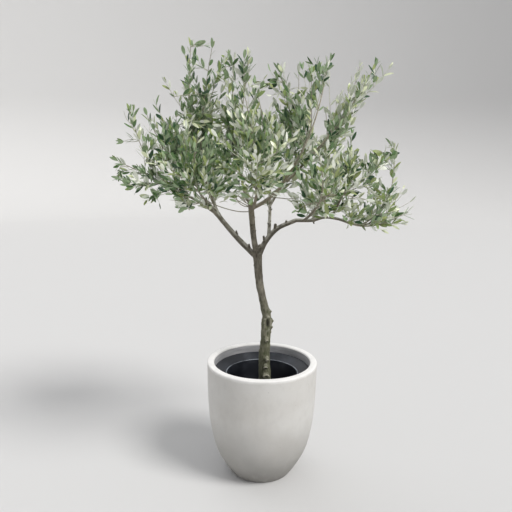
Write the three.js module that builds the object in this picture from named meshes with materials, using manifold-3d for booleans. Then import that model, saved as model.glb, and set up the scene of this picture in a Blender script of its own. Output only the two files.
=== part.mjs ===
// A young olive tree in an egg-shaped planter.
// Millimetres, +Z up. The origin is the centre of the planter's underside, +X runs towards the long
// low bough, and +Y runs from the leader's side of the tree to the back stem's side.

import * as THREE from "three";
import { mergeVertices } from "three/addons/utils/BufferGeometryUtils.js";
import Module from "manifold-3d";

const wasm = await Module();
wasm.setup();

// ---------------------------------------------------------------- driving dimensions

const clearance = 0.3; // between pieces that touch

const planter = {
  height: 456,
  rimRadius: 215,
  wall: 27,
  rimRound: 6,
  floor: 32,
  // outer radius at each share of the height, from the foot to the shoulder
  outline: [[0, 118], [0.012, 123], [0.098, 149], [0.237, 181], [0.434, 202], [0.622, 210.5], [0.81, 214]],
  sides: 36,
};

const liner = {
  drop: 33, // from the planter's rim to the collar's outer edge
  collarDrop: 52, // from the planter's rim to the lip
  lipRadius: 139,
  lip: 4,
  footRadius: 96,
  wall: 4,
  sides: 24,
};

const soil = { top: 318, dome: 5 };

// Each trunk ring: its centre and radius, from the flat cut on the soil to the fork.
const trunk = {
  rings: [
    [19, 0, 318.3, 30], [15, 0, 338, 25.5], [11, 0, 400, 23.2], [9, 0, 465, 20.5],
    [13, 0, 550, 17.6], [16, 0, 602, 19], [15, 0, 640, 16.4], [4, 0, 686, 13.6],
    [-11, 0, 755, 13.9], [-19, 0, 828, 14.8], [-22, 0, 882, 16.8],
  ],
  sides: 10,
  steps: 18,
};

// Knots and sawn spurs on the trunk: height, compass angle, how far each stands out, and radius.
const knots = [
  { z: 632, angle: 8, out: 11, radius: 6 },
  { z: 590, angle: 12, out: 13, radius: 7.5 },
  { z: 545, angle: 20, out: 10, radius: 6 },
  { z: 535, angle: -70, out: 6, radius: 8 },
  { z: 445, angle: 178, out: 8, radius: 7 },
  { z: 418, angle: -62, out: 7, radius: 8 },
  { z: 388, angle: -80, out: 6, radius: 8 },
  { z: 850, angle: 172, out: 8, radius: 5 },
];

// Each limb: the centres that it runs through, and its radius at root and tip.
const limbs = {
  bough_left: {
    path: [[-24, 3, 866], [-90, 17, 928], [-151, 30, 995], [-189, 36, 1040], [-216, 38, 1070]],
    radius: [11, 8],
  },
  bough_leader: {
    path: [[-23, -4, 868], [-36, -20, 940], [-45, -48, 1033], [-49, -63, 1083]],
    radius: [11, 9.8],
  },
  bough_right: { path: [[-18, 4, 870], [6, 12, 922], [50, 18, 973], [122, 12, 1008]], radius: [11, 7.2] },
  bough_right_outer: {
    path: [[121, 12, 1008], [184, 4, 1010], [228, -2, 1022], [280, -6, 1016], [326, -8, 1000]],
    radius: [7, 4.2],
  },
  bough_back: { path: [[20, 16, 942], [24, 58, 1024], [24, 92, 1096]], radius: [6.8, 5.2] },
  limb_leader_right: {
    path: [[-46, -57, 1056], [8, -68, 1089], [59, -80, 1138], [134, -78, 1214]],
    radius: [7, 4.6],
  },
  limb_left_outer: { path: [[-180, 33, 1029], [-246, 42, 1071], [-312, 44, 1106]], radius: [6.2, 4.2] },
  limb_top_left: { path: [[-176, 34, 1025], [-195, 66, 1082], [-222, 72, 1147]], radius: [6, 4.6] },
  limb_left_front: { path: [[-158, 31, 1003], [-195, -24, 1050], [-222, -84, 1100]], radius: [6, 4.4] },
  limb_left_back: { path: [[-154, 31, 999], [-185, 88, 1043], [-212, 140, 1086]], radius: [6, 4.4] },
  limb_leader_up: { path: [[-48, -58, 1068], [-66, -50, 1100], [-78, -38, 1140]], radius: [5, 4.2] },
  limb_centre_front: { path: [[-46, -51, 1043], [-34, -104, 1080], [-28, -150, 1112]], radius: [6, 4.4] },
  limb_top_right: { path: [[24, 74, 1056], [48, 84, 1098], [70, 92, 1144]], radius: [5, 4.2] },
  limb_upper_right: { path: [[62, -79, 1143], [88, -100, 1190], [108, -118, 1226]], radius: [5, 4.2] },
  limb_right_front: { path: [[150, 8, 1007], [174, -52, 1040], [188, -110, 1074]], radius: [5.2, 4.2] },
  limb_right_back: { path: [[182, 4, 1010], [205, 58, 1042], [228, 118, 1080]], radius: [5, 4.2] },
  limb_right_middle: { path: [[250, -4, 1021], [270, -11, 1058], [284, -18, 1092]], radius: [4.6, 3.8] },
};
const limbSides = 7;
const limbStep = 50; // length of one facet along a limb
const stub = { limb: "bough_right", path: [[46, 18, 970], [48, 14, 1002]], radius: [6, 5.4] };

// Each mass of foliage grows on from one limb's tip. The first tip ends its stem, and each other
// tip ends a wand that leaves the stem.
const masses = {
  foliage_left_outer: {
    limb: "limb_left_outer",
    tips: [[-566, 0, 1251], [-491, -30, 1423], [-509, -40, 1150], [-452, 70, 1104]],
  },
  foliage_left_upper: {
    limb: "bough_left",
    tips: [[-335, -30, 1492], [-429, -80, 1421], [-435, 110, 1404]],
  },
  foliage_top_left: {
    limb: "limb_top_left",
    tips: [[-277, 60, 1679], [-188, -10, 1663], [-157, 100, 1626]],
  },
  foliage_left_front: {
    limb: "limb_left_front",
    tips: [[-215, -290, 1340], [-343, -260, 1250], [-292, -110, 1030], [-130, -240, 1110]],
  },
  foliage_left_back: {
    limb: "limb_left_back",
    tips: [[-306, 280, 1470], [-186, 360, 1400], [-436, 250, 1264], [-162, 300, 1125]],
  },
  foliage_top_middle: {
    limb: "limb_leader_up",
    tips: [[-116, 90, 1642], [-58, -90, 1619], [-165, -70, 1165]],
  },
  foliage_middle_front: {
    limb: "limb_centre_front",
    tips: [[-75, -260, 1490], [40, -330, 1360], [-25, -420, 1271], [-120, -340, 1240], [-20, -230, 1120]],
  },
  foliage_middle_back: {
    limb: "bough_back",
    tips: [[-40, 290, 1573], [99, 350, 1476], [-47, 430, 1357], [93, 310, 1135]],
  },
  foliage_top_right: {
    limb: "limb_top_right",
    tips: [[54, 60, 1592], [131, 120, 1598], [168, 50, 1190]],
  },
  foliage_upper_right: {
    limb: "limb_upper_right",
    tips: [[226, -20, 1612], [158, -90, 1564], [149, -230, 1437], [160, -50, 1330]],
  },
  foliage_right_high: {
    limb: "limb_leader_right",
    tips: [[419, 60, 1614], [362, 80, 1612], [280, 20, 1499], [392, -60, 1426]],
  },
  foliage_right_front: {
    limb: "limb_right_front",
    tips: [[168, -310, 1282], [283, -270, 1215], [367, -240, 1129], [80, -190, 1085], [258, -130, 1060]],
  },
  foliage_right_back: {
    limb: "limb_right_back",
    tips: [[253, 280, 1483], [379, 290, 1333], [418, 140, 1368], [350, 190, 1130], [180, 170, 1080]],
  },
  foliage_right_outer: {
    limb: "bough_right_outer",
    tips: [[564, -30, 1076], [462, -60, 1150], [492, 30, 1318], [512, 20, 1042]],
  },
  foliage_right_middle: {
    limb: "limb_right_middle",
    tips: [[301, -120, 1292], [440, -100, 1270], [325, -90, 1100], [380, -50, 1175]],
  },
};

const growth = {
  seed: 20,
  stemShare: 0.9, // a stem's radius, of its limb's tip
  wandRadius: 3.6,
  shootRadius: 3,
  tipRadius: 2.3,
  wandStarts: [0.12, 0.24, 0.08, 0.18], // along the stem
  shootSpacing: 100,
  shootReach: 250, // with the leaf at its tip
  shootAngle: 52,
  bareStart: 0.1, // share of a stem that carries no side shoots
  lift: 0.25, // how much a side shoot turns up
  leafSpacing: 60,
  leafLength: 98,
  leafShrink: 0.3, // towards a wand's tip
  leafWidth: 33,
  leafThickness: 8,
  leafAngle: 56,
  leafClose: 28, // how much less that angle is at a shoot's tip
  leafLift: 0.3, // how much a leaf turns up
  margin: 3, // between two masses, and between a leaf and a limb
  weld: 0.5, // edges shorter than this close up
};

const goldenAngle = THREE.MathUtils.degToRad(137.5);

const colours = {
  planter: { color: 0xc9c6c1, roughness: 0.85 },
  liner: { color: 0x2b2d31, roughness: 0.55 },
  soil: { color: 0x2c241d, roughness: 1 },
  bark: { color: 0x76705c, roughness: 0.9 },
  foliage: { color: 0x74866a, roughness: 0.6 },
};

// ---------------------------------------------------------------- solids

function solidFrom(geometry) {
  const plain = geometry.clone();
  plain.deleteAttribute("normal");
  plain.deleteAttribute("uv");
  const merged = mergeVertices(plain, 1e-3);
  const mesh = new wasm.Mesh({
    numProp: 3,
    vertProperties: new Float32Array(merged.attributes.position.array),
    triVerts: new Uint32Array(merged.index.array),
  });
  return new wasm.Manifold(mesh);
}

function largestPiece(solid) {
  const pieces = solid.decompose().sort((a, b) => b.volume() - a.volume());
  return pieces[0];
}

function geometryFrom(solid) {
  const mesh = solid.getMesh();
  const geometry = new THREE.BufferGeometry();
  geometry.setAttribute("position", new THREE.BufferAttribute(new Float32Array(mesh.vertProperties), 3));
  geometry.setIndex(new THREE.BufferAttribute(new Uint32Array(mesh.triVerts), 1));
  geometry.computeVertexNormals();
  return geometry;
}

// One closed body of all the pieces: edges shorter than the weld close up, and loose scraps are dropped.
function joined(pieces, weld) {
  let solid = wasm.Manifold.union(pieces).asOriginal().simplify(weld);
  for (let pass = 0; pass < 3; pass++) solid = largestPiece(solidFrom(geometryFrom(solid)));
  return solid;
}

// A tapering tube: a closed cylinder bent along a curve. radiusAt takes 0 to 1 of its length.
function tubeSolid(curve, radiusAt, sides, rings) {
  const geometry = new THREE.CylinderGeometry(1, 1, 1, sides, rings);
  const frames = curve.computeFrenetFrames(rings, false);
  const position = geometry.attributes.position;
  for (let i = 0; i < position.count; i++) {
    const share = position.getY(i) + 0.5;
    const ring = Math.round(share * rings);
    const radius = radiusAt(share);
    const point = curve
      .getPointAt(share)
      .addScaledVector(frames.normals[ring], position.getX(i) * radius)
      .addScaledVector(frames.binormals[ring], -position.getZ(i) * radius);
    position.setXYZ(i, point.x, point.y, point.z);
  }
  return solidFrom(geometry);
}

const vector = (point) => new THREE.Vector3(point[0], point[1], point[2]);

// ---------------------------------------------------------------- planter, liner and soil

const outlineCurve = new THREE.SplineCurve([
  ...planter.outline.map(([share, radius]) => new THREE.Vector2(radius, share * planter.height)),
  new THREE.Vector2(planter.rimRadius, planter.height - planter.rimRound),
]);

// Outer radius of the planter at a height.
function outerRadius(height) {
  const points = outlineCurve.getPoints(80);
  const above = points.findIndex((p) => p.y >= height - 0.001);
  const [low, high] = [points[above - 1], points[above]];
  return THREE.MathUtils.mapLinear(height, low.y, high.y, low.x, high.x);
}

// The profile runs from the axis, out, up and back to the axis.
function turned(profile, sides) {
  return solidFrom(new THREE.LatheGeometry(profile, sides).rotateX(Math.PI / 2));
}

function planterSolid() {
  const profile = [new THREE.Vector2(0, 0), ...outlineCurve.getPoints(7)];
  const shoulder = planter.height - planter.rimRound;
  const outerCorner = planter.rimRadius - planter.rimRound;
  const innerCorner = planter.rimRadius - planter.wall + planter.rimRound;
  for (const [corner, turns] of [[outerCorner, [30, 60, 90]], [innerCorner, [90, 120, 150, 180]]]) {
    for (const turn of turns.map(THREE.MathUtils.degToRad)) {
      profile.push(
        new THREE.Vector2(
          corner + Math.cos(turn) * planter.rimRound,
          shoulder + Math.sin(turn) * planter.rimRound,
        ),
      );
    }
  }
  const wallSteps = 3;
  for (let i = 1; i <= wallSteps; i++) {
    const height = THREE.MathUtils.lerp(shoulder, planter.floor, i / wallSteps);
    profile.push(new THREE.Vector2(outerRadius(height) - planter.wall, height));
  }
  profile.push(new THREE.Vector2(0, planter.floor));
  return turned(profile, planter.sides);
}

const collarTop = planter.height - liner.drop;
const lipTop = planter.height - liner.collarDrop;
const linerFloor = planter.floor + clearance;

function linerSolid() {
  const facetGap = 2; // the two rings of facets don't line up
  const collarRadius = outerRadius(collarTop) - planter.wall - facetGap;
  const wallFoot = liner.footRadius - liner.wall;
  const profile = [
    [0, linerFloor], [liner.footRadius, linerFloor],
    [liner.lipRadius - liner.lip, lipTop - 14], [collarRadius - 3, collarTop - 8],
    [collarRadius, collarTop], [collarRadius - 5, collarTop],
    [liner.lipRadius + liner.lip, lipTop - 2], [liner.lipRadius + 1, lipTop + 2],
    [liner.lipRadius - liner.lip, lipTop + 1], [liner.lipRadius - 2 * liner.wall, lipTop - 12],
    [wallFoot, linerFloor + liner.wall], [0, linerFloor + liner.wall],
  ].map(([radius, height]) => new THREE.Vector2(radius, height));
  return turned(profile, liner.sides);
}

function soilSolid() {
  const bottom = linerFloor + liner.wall + clearance;
  const linerInside = (height) =>
    THREE.MathUtils.mapLinear(
      height, linerFloor + liner.wall, lipTop - 12,
      liner.footRadius - liner.wall, liner.lipRadius - 2 * liner.wall,
    ) - clearance - 0.4;
  const profile = [
    [0, bottom], [linerInside(bottom), bottom], [linerInside(soil.top - soil.dome), soil.top - soil.dome],
    [linerInside(soil.top) - 12, soil.top - 1], [60, soil.top], [0, soil.top],
  ].map(([radius, height]) => new THREE.Vector2(radius, height));
  return turned(profile, liner.sides);
}

// ---------------------------------------------------------------- trunk and limbs

const trunkCurve = new THREE.CatmullRomCurve3(trunk.rings.map(vector));

function trunkRadius(height) {
  const next = Math.max(1, trunk.rings.findIndex((ring) => ring[2] >= height - 0.001));
  const [low, high] = [trunk.rings[next - 1], trunk.rings[next]];
  return THREE.MathUtils.lerp(low[3], high[3], THREE.MathUtils.smoothstep(height, low[2], high[2]));
}

function knotSolid(knot, extra) {
  const centre = trunkCurve.getPoints(200).reduce((best, p) =>
    Math.abs(p.z - knot.z) < Math.abs(best.z - knot.z) ? p : best);
  const angle = THREE.MathUtils.degToRad(knot.angle);
  const outward = new THREE.Vector3(Math.cos(angle), Math.sin(angle), 0.35).normalize();
  const length = trunkRadius(knot.z) + knot.out + extra;
  const [end, root] = [knot.radius * 0.7 + extra, knot.radius * 1.5 + extra];
  const spur = new THREE.CylinderGeometry(end, root, length, 6);
  spur.translate(0, length / 2, 0);
  spur.applyQuaternion(new THREE.Quaternion().setFromUnitVectors(new THREE.Vector3(0, 1, 0), outward));
  spur.translate(centre.x, centre.y, knot.z);
  return solidFrom(spur);
}

// The trunk and its knots, with its foot cut flat by the soil.
function trunkSolid(extra = 0) {
  const radiusAt = (share) => trunkRadius(trunkCurve.getPointAt(share).z) + extra;
  const stem = tubeSolid(trunkCurve, radiusAt, trunk.sides, trunk.steps);
  const foot = new THREE.BoxGeometry(200, 200, 40).translate(0, 0, trunk.rings[0][2] - 20);
  return joined([stem, ...knots.map((knot) => knotSolid(knot, extra))], 0.1).subtract(solidFrom(foot));
}

function limbTube(limb, extra = 0) {
  const curve = new THREE.CatmullRomCurve3(limb.path.map(vector));
  const [root, tip] = limb.radius;
  const rings = Math.max(3, Math.round(curve.getLength() / limbStep));
  const radiusAt = (share) => THREE.MathUtils.lerp(root, tip, share) + extra;
  return tubeSolid(curve, radiusAt, limbSides, rings);
}

const guardRise = clearance * 1.25; // at a tube's corners, so that its flats are clear too

// A limb's tube grown by the clearance, and lengthened by it past the tip.
function limbGuard(limb) {
  const last = vector(limb.path[limb.path.length - 1]);
  const before = vector(limb.path[limb.path.length - 2]);
  const past = last.clone().addScaledVector(last.clone().sub(before).normalize(), clearance);
  return limbTube({ ...limb, path: [...limb.path.slice(0, -1), past.toArray()] }, guardRise);
}

// ---------------------------------------------------------------- the growth rule

// Park and Miller's generator, so that the same seed always grows the same tree.
function makeRandom(seed) {
  let state = seed;
  return () => {
    state = (state * 16807) % 2147483647;
    return state / 2147483647;
  };
}

// A shoot sets off along its heading and ends at its tip.
function shootCurve(root, heading, tip) {
  const reach = tip.distanceTo(root);
  const knee = root.clone().addScaledVector(heading, reach * 0.45);
  return new THREE.QuadraticBezierCurve3(root, knee, tip);
}

// A point on the straight facets that a shoot's tube is made of.
function axisPoint(shoot, share) {
  const facet = Math.min(Math.floor(share * shoot.rings), shoot.rings - 1);
  const start = shoot.curve.getPointAt(facet / shoot.rings);
  return start.lerp(shoot.curve.getPointAt((facet + 1) / shoot.rings), share * shoot.rings - facet);
}

function limbEnd(limb) {
  const tip = vector(limb.path[limb.path.length - 1]);
  const curve = new THREE.CatmullRomCurve3(limb.path.map(vector));
  return { tip, heading: curve.getTangentAt(1) };
}

const tipLeaf = growth.leafLength * (1 - growth.leafShrink) * 1.1;

// The stem and wands of a mass. Each ends one leaf short of its tip, which its last leaf reaches.
function skeletonOf(mass) {
  const limb = limbs[mass.limb];
  const { tip, heading } = limbEnd(limb);
  const root = tip.clone().addScaledVector(heading, clearance);
  const woodTip = (target, from) => {
    const last = target.clone().sub(from).normalize().add(new THREE.Vector3(0, 0, 0.5)).normalize();
    return target.clone().addScaledVector(last, -tipLeaf);
  };
  const ends = mass.tips.map(vector);
  const stemTip = woodTip(ends[0], root);
  const stem = shootCurve(root, heading, stemTip);
  const shoots = [{ curve: stem, radius: limb.radius[1] * growth.stemShare, rings: 4, end: ends[0] }];
  ends.slice(1).forEach((end, i) => {
    const share = growth.wandStarts[i];
    const start = axisPoint(shoots[0], share);
    const chord = end.clone().sub(start);
    const flat = new THREE.Vector3(chord.x, chord.y, chord.z * 0.4).normalize();
    const wandHeading = stem.getTangentAt(share).addScaledVector(flat, 1.3).normalize();
    const curve = shootCurve(start, wandHeading, woodTip(end, start));
    shoots.push({ curve, radius: growth.wandRadius, rings: 3, end });
  });
  return shoots;
}

function sideways(direction) {
  const level = Math.abs(direction.z) > 0.9 ? new THREE.Vector3(1, 0, 0) : new THREE.Vector3(0, 0, 1);
  return level.cross(direction).normalize();
}

// Side shoots leave a wand at the golden angle, and turn up. They shorten towards its tip.
function sideShoots(wand, random, bareStart) {
  const count = Math.max(1, Math.round((wand.curve.getLength() * (1 - bareStart)) / growth.shootSpacing));
  const start = random() * Math.PI * 2;
  const shoots = [];
  for (let i = 0; i < count; i++) {
    const share = bareStart + ((1 - bareStart) * (i + 0.3)) / count;
    const root = axisPoint(wand, share);
    const along = wand.curve.getTangentAt(share);
    const side = sideways(along).applyAxisAngle(along, start + i * goldenAngle);
    const angle = THREE.MathUtils.degToRad(growth.shootAngle * (0.85 + 0.3 * random()));
    const leaf = growth.leafLength * (1 - growth.leafShrink * share);
    const whole = growth.shootReach * (1 - 0.6 * share) * (0.7 + 0.3 * random());
    const reach = Math.max(30, whole - leaf * 0.9); // of its wood
    const heading = along.multiplyScalar(Math.cos(angle)).addScaledVector(side, Math.sin(angle));
    heading.normalize();
    const tip = root.clone().addScaledVector(heading, reach * 0.9);
    tip.z += reach * growth.lift;
    const phase = random() * Math.PI;
    const curve = shootCurve(root, heading, tip);
    const leaves = { bareStart: 0.35, phase, leaf: [leaf, leaf] };
    shoots.push({ curve, radius: growth.shootRadius, rings: 1, ...leaves });
  }
  return shoots;
}

// Leaves stand in pairs, each pair turned a quarter from the one below, with one leaf at the tip.
function leavesAlong(shoot) {
  const { curve, bareStart, phase } = shoot;
  const count = Math.max(1, Math.round((curve.getLength() * (1 - bareStart)) / growth.leafSpacing));
  const leaves = [];
  for (let i = 0; i < count; i++) {
    const share = bareStart + ((1 - bareStart) * (i + 0.2)) / count;
    const angle = THREE.MathUtils.degToRad(growth.leafAngle - growth.leafClose * share);
    const along = curve.getTangentAt(share);
    const side = sideways(along).applyAxisAngle(along, phase + (i * Math.PI) / 2);
    for (const hand of [1, -1]) {
      const direction = along.clone().multiplyScalar(Math.cos(angle));
      direction.addScaledVector(side, hand * Math.sin(angle));
      direction.setZ(direction.z + growth.leafLift).normalize();
      const face = along.clone().cross(direction).cross(direction).negate();
      const length = THREE.MathUtils.lerp(...shoot.leaf, share);
      leaves.push({ root: axisPoint(shoot, share), direction, face, shoot, length });
    }
  }
  const root = axisPoint(shoot, 1 - growth.tipRadius / curve.getLength());
  const last =
    shoot.end ?? curve.getPointAt(1).addScaledVector(curve.getTangentAt(1), shoot.leaf[1] * 0.9);
  const direction = last.clone().sub(root).normalize();
  leaves.push({ root, direction, face: sideways(direction), shoot, length: last.distanceTo(root) });
  return leaves;
}

// ---------------------------------------------------------------- the space of each mass

const skeletons = {};
const spaces = {}; // points along each skeleton
for (const [name, mass] of Object.entries(masses)) {
  skeletons[name] = skeletonOf(mass);
  spaces[name] = skeletons[name].flatMap(({ curve }) =>
    curve.getSpacedPoints(Math.ceil(curve.getLength() / 12)));
}

const nearest = (point, points) =>
  Math.sqrt(points.reduce((best, p) => Math.min(best, p.distanceToSquared(point)), Infinity));

// A point is in a mass's space where its own stem and wands are nearer than any other mass's.
function inSpace(point, name) {
  const own = nearest(point, spaces[name]);
  const others = Object.keys(spaces).filter((other) => other !== name);
  return others.every((other) => nearest(point, spaces[other]) > own + growth.margin);
}

const isClear = (solid, others) =>
  others.every((other) => other.minGap(solid, growth.margin) >= growth.margin);

// ---------------------------------------------------------------- foliage solids

// A leaf is two three-sided points, base to base: a flat upper side, and a keel along the midrib.
const leafShape = new THREE.SphereGeometry(0.5, 3, 2);
leafShape.computeBoundingBox();
const leafSize = leafShape.boundingBox.getSize(new THREE.Vector3());

// A leaf's root is sunk to just past the shoot's axis.
function leafSolid(leaf) {
  const sunk = leaf.shoot.radius * 0.45;
  const across = new THREE.Vector3().crossVectors(leaf.direction, leaf.face).normalize();
  const place = new THREE.Matrix4().makeBasis(
    across.clone().cross(leaf.direction).multiplyScalar(-growth.leafThickness / leafSize.x),
    leaf.direction.clone().multiplyScalar(leaf.length + sunk),
    across.clone().multiplyScalar((growth.leafWidth * leaf.length) / growth.leafLength / leafSize.z),
  );
  place.setPosition(leaf.root.clone().addScaledVector(leaf.direction, (leaf.length - sunk) / 2));
  return solidFrom(leafShape.clone().applyMatrix4(place));
}

function shootSolid(shoot) {
  const radiusAt = (share) => THREE.MathUtils.lerp(shoot.radius, growth.tipRadius, share);
  return tubeSolid(shoot.curve, radiusAt, 3, shoot.rings);
}

// A side shoot or leaf that would leave the mass's space, or touch a limb, is left out.
function massSolid(name, seed, others) {
  const random = makeRandom(seed);
  const shoots = [];
  skeletons[name].forEach((wand, i) => {
    const bareStart = i === 0 ? growth.bareStart : 0;
    const leaf = [growth.leafLength, growth.leafLength * (1 - growth.leafShrink)];
    shoots.push({ ...wand, bareStart: bareStart + 0.15, phase: random() * Math.PI, leaf });
    shoots.push(...sideShoots(wand, random, bareStart));
  });
  const woods = [];
  const blades = [];
  for (const shoot of shoots) {
    const wood = shootSolid(shoot);
    const isWand = shoot.end !== undefined;
    if (!isWand && !(inSpace(shoot.curve.getPointAt(1), name) && isClear(wood, others))) continue;
    woods.push(wood);
    shoot.wood = wood;
  }
  for (const shoot of shoots.filter((s) => s.wood)) {
    const before = [...blades, ...woods.filter((wood) => wood !== shoot.wood)];
    for (const leaf of leavesAlong(shoot)) {
      const tip = leaf.root.clone().addScaledVector(leaf.direction, leaf.length);
      const middle = leaf.root.clone().lerp(tip, 0.5);
      if (!inSpace(tip, name) || !inSpace(middle, name)) continue;
      const blade = leafSolid(leaf);
      if (isClear(blade, others) && before.every((b) => b.minGap(blade, 1) > 0)) blades.push(blade);
    }
  }
  return joined([...woods, ...blades], growth.weld);
}

// ---------------------------------------------------------------- assembly

const olive = new THREE.Group();

function addMesh(name, solid, finish) {
  const material = new THREE.MeshStandardMaterial({ ...colours[finish], metalness: 0 });
  const mesh = new THREE.Mesh(geometryFrom(solid), material);
  mesh.name = name;
  olive.add(mesh);
}

addMesh("planter", planterSolid(), "planter");
addMesh("liner", linerSolid(), "liner");
addMesh("soil", soilSolid(), "soil");
addMesh("trunk", trunkSolid(), "bark");

// Each limb is cut back from everything built before it, so that its root hugs what it springs from.
const trunkGuard = trunkSolid(guardRise);
const guards = [trunkGuard, trunkGuard.translate([0, 0, clearance])];
const grown = [];
for (const [name, limb] of Object.entries(limbs)) {
  let solid = limbTube(limb);
  if (name === stub.limb) solid = solid.add(limbTube(stub));
  for (const guard of guards) solid = solid.subtract(guard);
  solid = largestPiece(solid);
  addMesh(name, solid, "bark");
  guards.push(limbGuard(limb));
  grown.push(solid);
}

Object.keys(masses).forEach((name, i) => {
  const solid = massSolid(name, growth.seed + i, grown);
  addMesh(name, solid, "foliage");
  grown.push(solid);
});

export default olive;
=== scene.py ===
import math

import bmesh
import bpy
import numpy as np
from mathutils import Matrix, Vector, kdtree, noise


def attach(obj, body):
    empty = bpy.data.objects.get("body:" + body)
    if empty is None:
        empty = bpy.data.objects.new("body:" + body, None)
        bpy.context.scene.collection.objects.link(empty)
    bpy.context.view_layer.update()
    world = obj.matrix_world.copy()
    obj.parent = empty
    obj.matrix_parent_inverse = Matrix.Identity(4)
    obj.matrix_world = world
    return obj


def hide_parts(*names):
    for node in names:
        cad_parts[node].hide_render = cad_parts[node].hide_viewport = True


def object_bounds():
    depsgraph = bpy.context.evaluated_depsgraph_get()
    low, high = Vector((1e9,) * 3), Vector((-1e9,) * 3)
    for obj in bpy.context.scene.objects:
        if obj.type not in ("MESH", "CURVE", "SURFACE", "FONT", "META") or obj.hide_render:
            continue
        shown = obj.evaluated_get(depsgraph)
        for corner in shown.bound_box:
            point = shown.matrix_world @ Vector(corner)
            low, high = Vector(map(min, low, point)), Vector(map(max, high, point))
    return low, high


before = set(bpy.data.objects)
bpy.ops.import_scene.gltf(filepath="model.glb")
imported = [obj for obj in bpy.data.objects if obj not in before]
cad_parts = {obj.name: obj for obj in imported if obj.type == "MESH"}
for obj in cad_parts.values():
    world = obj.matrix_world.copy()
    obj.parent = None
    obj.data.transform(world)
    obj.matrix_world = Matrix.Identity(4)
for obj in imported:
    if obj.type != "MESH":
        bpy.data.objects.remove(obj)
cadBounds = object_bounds()
scene = bpy.context.scene
mm = 0.001
upward = Vector((0, 0, 1))
print("frame:", len(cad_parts), "nodes")


# small helpers

def linear(code):  # six hex digits to a shader colour
    channels = [int(code[i:i + 2], 16) / 255 for i in (0, 2, 4)]
    return [c / 12.92 if c <= 0.04045 else ((c + 0.055) / 1.055) ** 2.4 for c in channels] + [1.0]


def makeRandom(seed):  # Park and Miller's generator, so the same seed grows the same tree
    factor, modulus = 16807, 2147483647
    state = seed

    def draw(low=0.0, high=1.0):
        nonlocal state
        state = state * factor % modulus
        return low + (high - low) * state / modulus

    return draw


def smoothStep(value, low, high):
    share = min(1.0, max(0.0, (value - low) / (high - low)))
    return share * share * (3 - 2 * share)


def curveThrough(points, step):  # centripetal curve through the points, sampled about every step
    knots = [Vector(p) for p in points]
    line = [knots[0]]
    for i in range(len(knots) - 1):
        a, b = knots[i], knots[i + 1]
        before = knots[i - 1] if i else a + (a - b)
        after = knots[i + 2] if i + 2 < len(knots) else b + (b - a)
        d0, d1, d2 = (max(1e-6, (q - p).length ** 0.5) for p, q in ((before, a), (a, b), (b, after)))
        leave = ((a - before) / d0 - (b - before) / (d0 + d1) + (b - a) / d1) * d1
        arrive = ((b - a) / d1 - (after - a) / (d1 + d2) + (after - b) / d2) * d1
        count = max(2, round((b - a).length / step))
        for k in range(1, count + 1):
            t = k / count
            line.append(
                a * (2 * t**3 - 3 * t**2 + 1) + leave * (t**3 - 2 * t**2 + t)
                + b * (3 * t**2 - 2 * t**3) + arrive * (t**3 - t**2))
    return line


def routeThrough(places, step):  # a curve through places given in mm
    return curveThrough([Vector(p) * mm for p in places], step)


def newObject(name, data):
    made = bpy.data.objects.new(name, data)
    scene.collection.objects.link(made)
    return made


def addPiece(name, mesh, materials, replaced=()):
    piece = newObject(name, mesh)
    for material in materials:
        mesh.materials.append(material)
    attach(piece, "root")
    if replaced:
        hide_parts(*replaced)
    triangles = sum(len(p.vertices) - 2 for p in mesh.polygons)
    print(name + ":", len(mesh.vertices), "points,", triangles, "triangles")


def meshOf(bm, name, smooth=True):
    for face in bm.faces:
        face.smooth = smooth
    mesh = bpy.data.meshes.new(name)
    bm.to_mesh(mesh)
    bm.free()
    return mesh


def spunMesh(profile, steps):  # profile of (radius, height), starting at the axis
    bm = bmesh.new()
    ring = [bm.verts.new((radius, 0, height)) for radius, height in profile]
    edges = [bm.edges.new(pair) for pair in zip(ring, ring[1:])]
    bmesh.ops.spin(
        bm, geom=ring + edges, cent=(0, 0, 0), axis=(0, 0, 1), angle=math.tau, steps=steps,
        use_merge=True, use_duplicate=False)
    bmesh.ops.remove_doubles(bm, verts=bm.verts, dist=0.02 * mm)
    bmesh.ops.recalc_face_normals(bm, faces=bm.faces)
    return bm


def settledMesh(name, data, modifiers=()):  # the mesh of a curve or mesh, with its modifiers applied
    holder = newObject(name, data)
    for kind, settings in modifiers:
        modifier = holder.modifiers.new(kind.lower(), kind)
        for key, value in settings.items():
            setattr(modifier, key, value)
    shape = holder.evaluated_get(bpy.context.evaluated_depsgraph_get())
    mesh = bpy.data.meshes.new_from_object(shape)
    bpy.data.objects.remove(holder)
    return mesh


def tubesMesh(name, tubes, sides):  # tubes of (points, radii), as one mesh with closed ends
    data = bpy.data.curves.new(name, "CURVE")
    data.dimensions = "3D"
    data.bevel_depth = 1.0
    data.bevel_resolution = (sides - 4) // 2
    data.use_fill_caps = True
    data.twist_mode = "MINIMUM"
    for points, radii in tubes:
        spline = data.splines.new("POLY")
        spline.points.add(len(points) - 1)
        spline.points.foreach_set("co", [c for p in points for c in (*p, 1.0)])
        spline.points.foreach_set("radius", radii)
    return settledMesh(name, data)


# camera, floor and light

view = {
    "lens": 39.16,
    "sensor": 36,
    "place": (-0.0276, -2.085, 1.250),
    "tiltDown": 10.29,
    "roll": 0.55,
    "look": "Standard",
}


def makeCamera():
    data = bpy.data.cameras.new("viewCamera")
    data.sensor_width = view["sensor"]
    data.lens = view["lens"]
    camera = newObject("viewCamera", data)
    tilt = Matrix.Rotation(math.radians(90 - view["tiltDown"]), 4, "X")
    roll = Matrix.Rotation(math.radians(view["roll"]), 4, "Z")
    camera.matrix_world = Matrix.Translation(view["place"]) @ tilt @ roll
    scene.camera = camera
    scene.view_settings.view_transform = view["look"]


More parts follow.
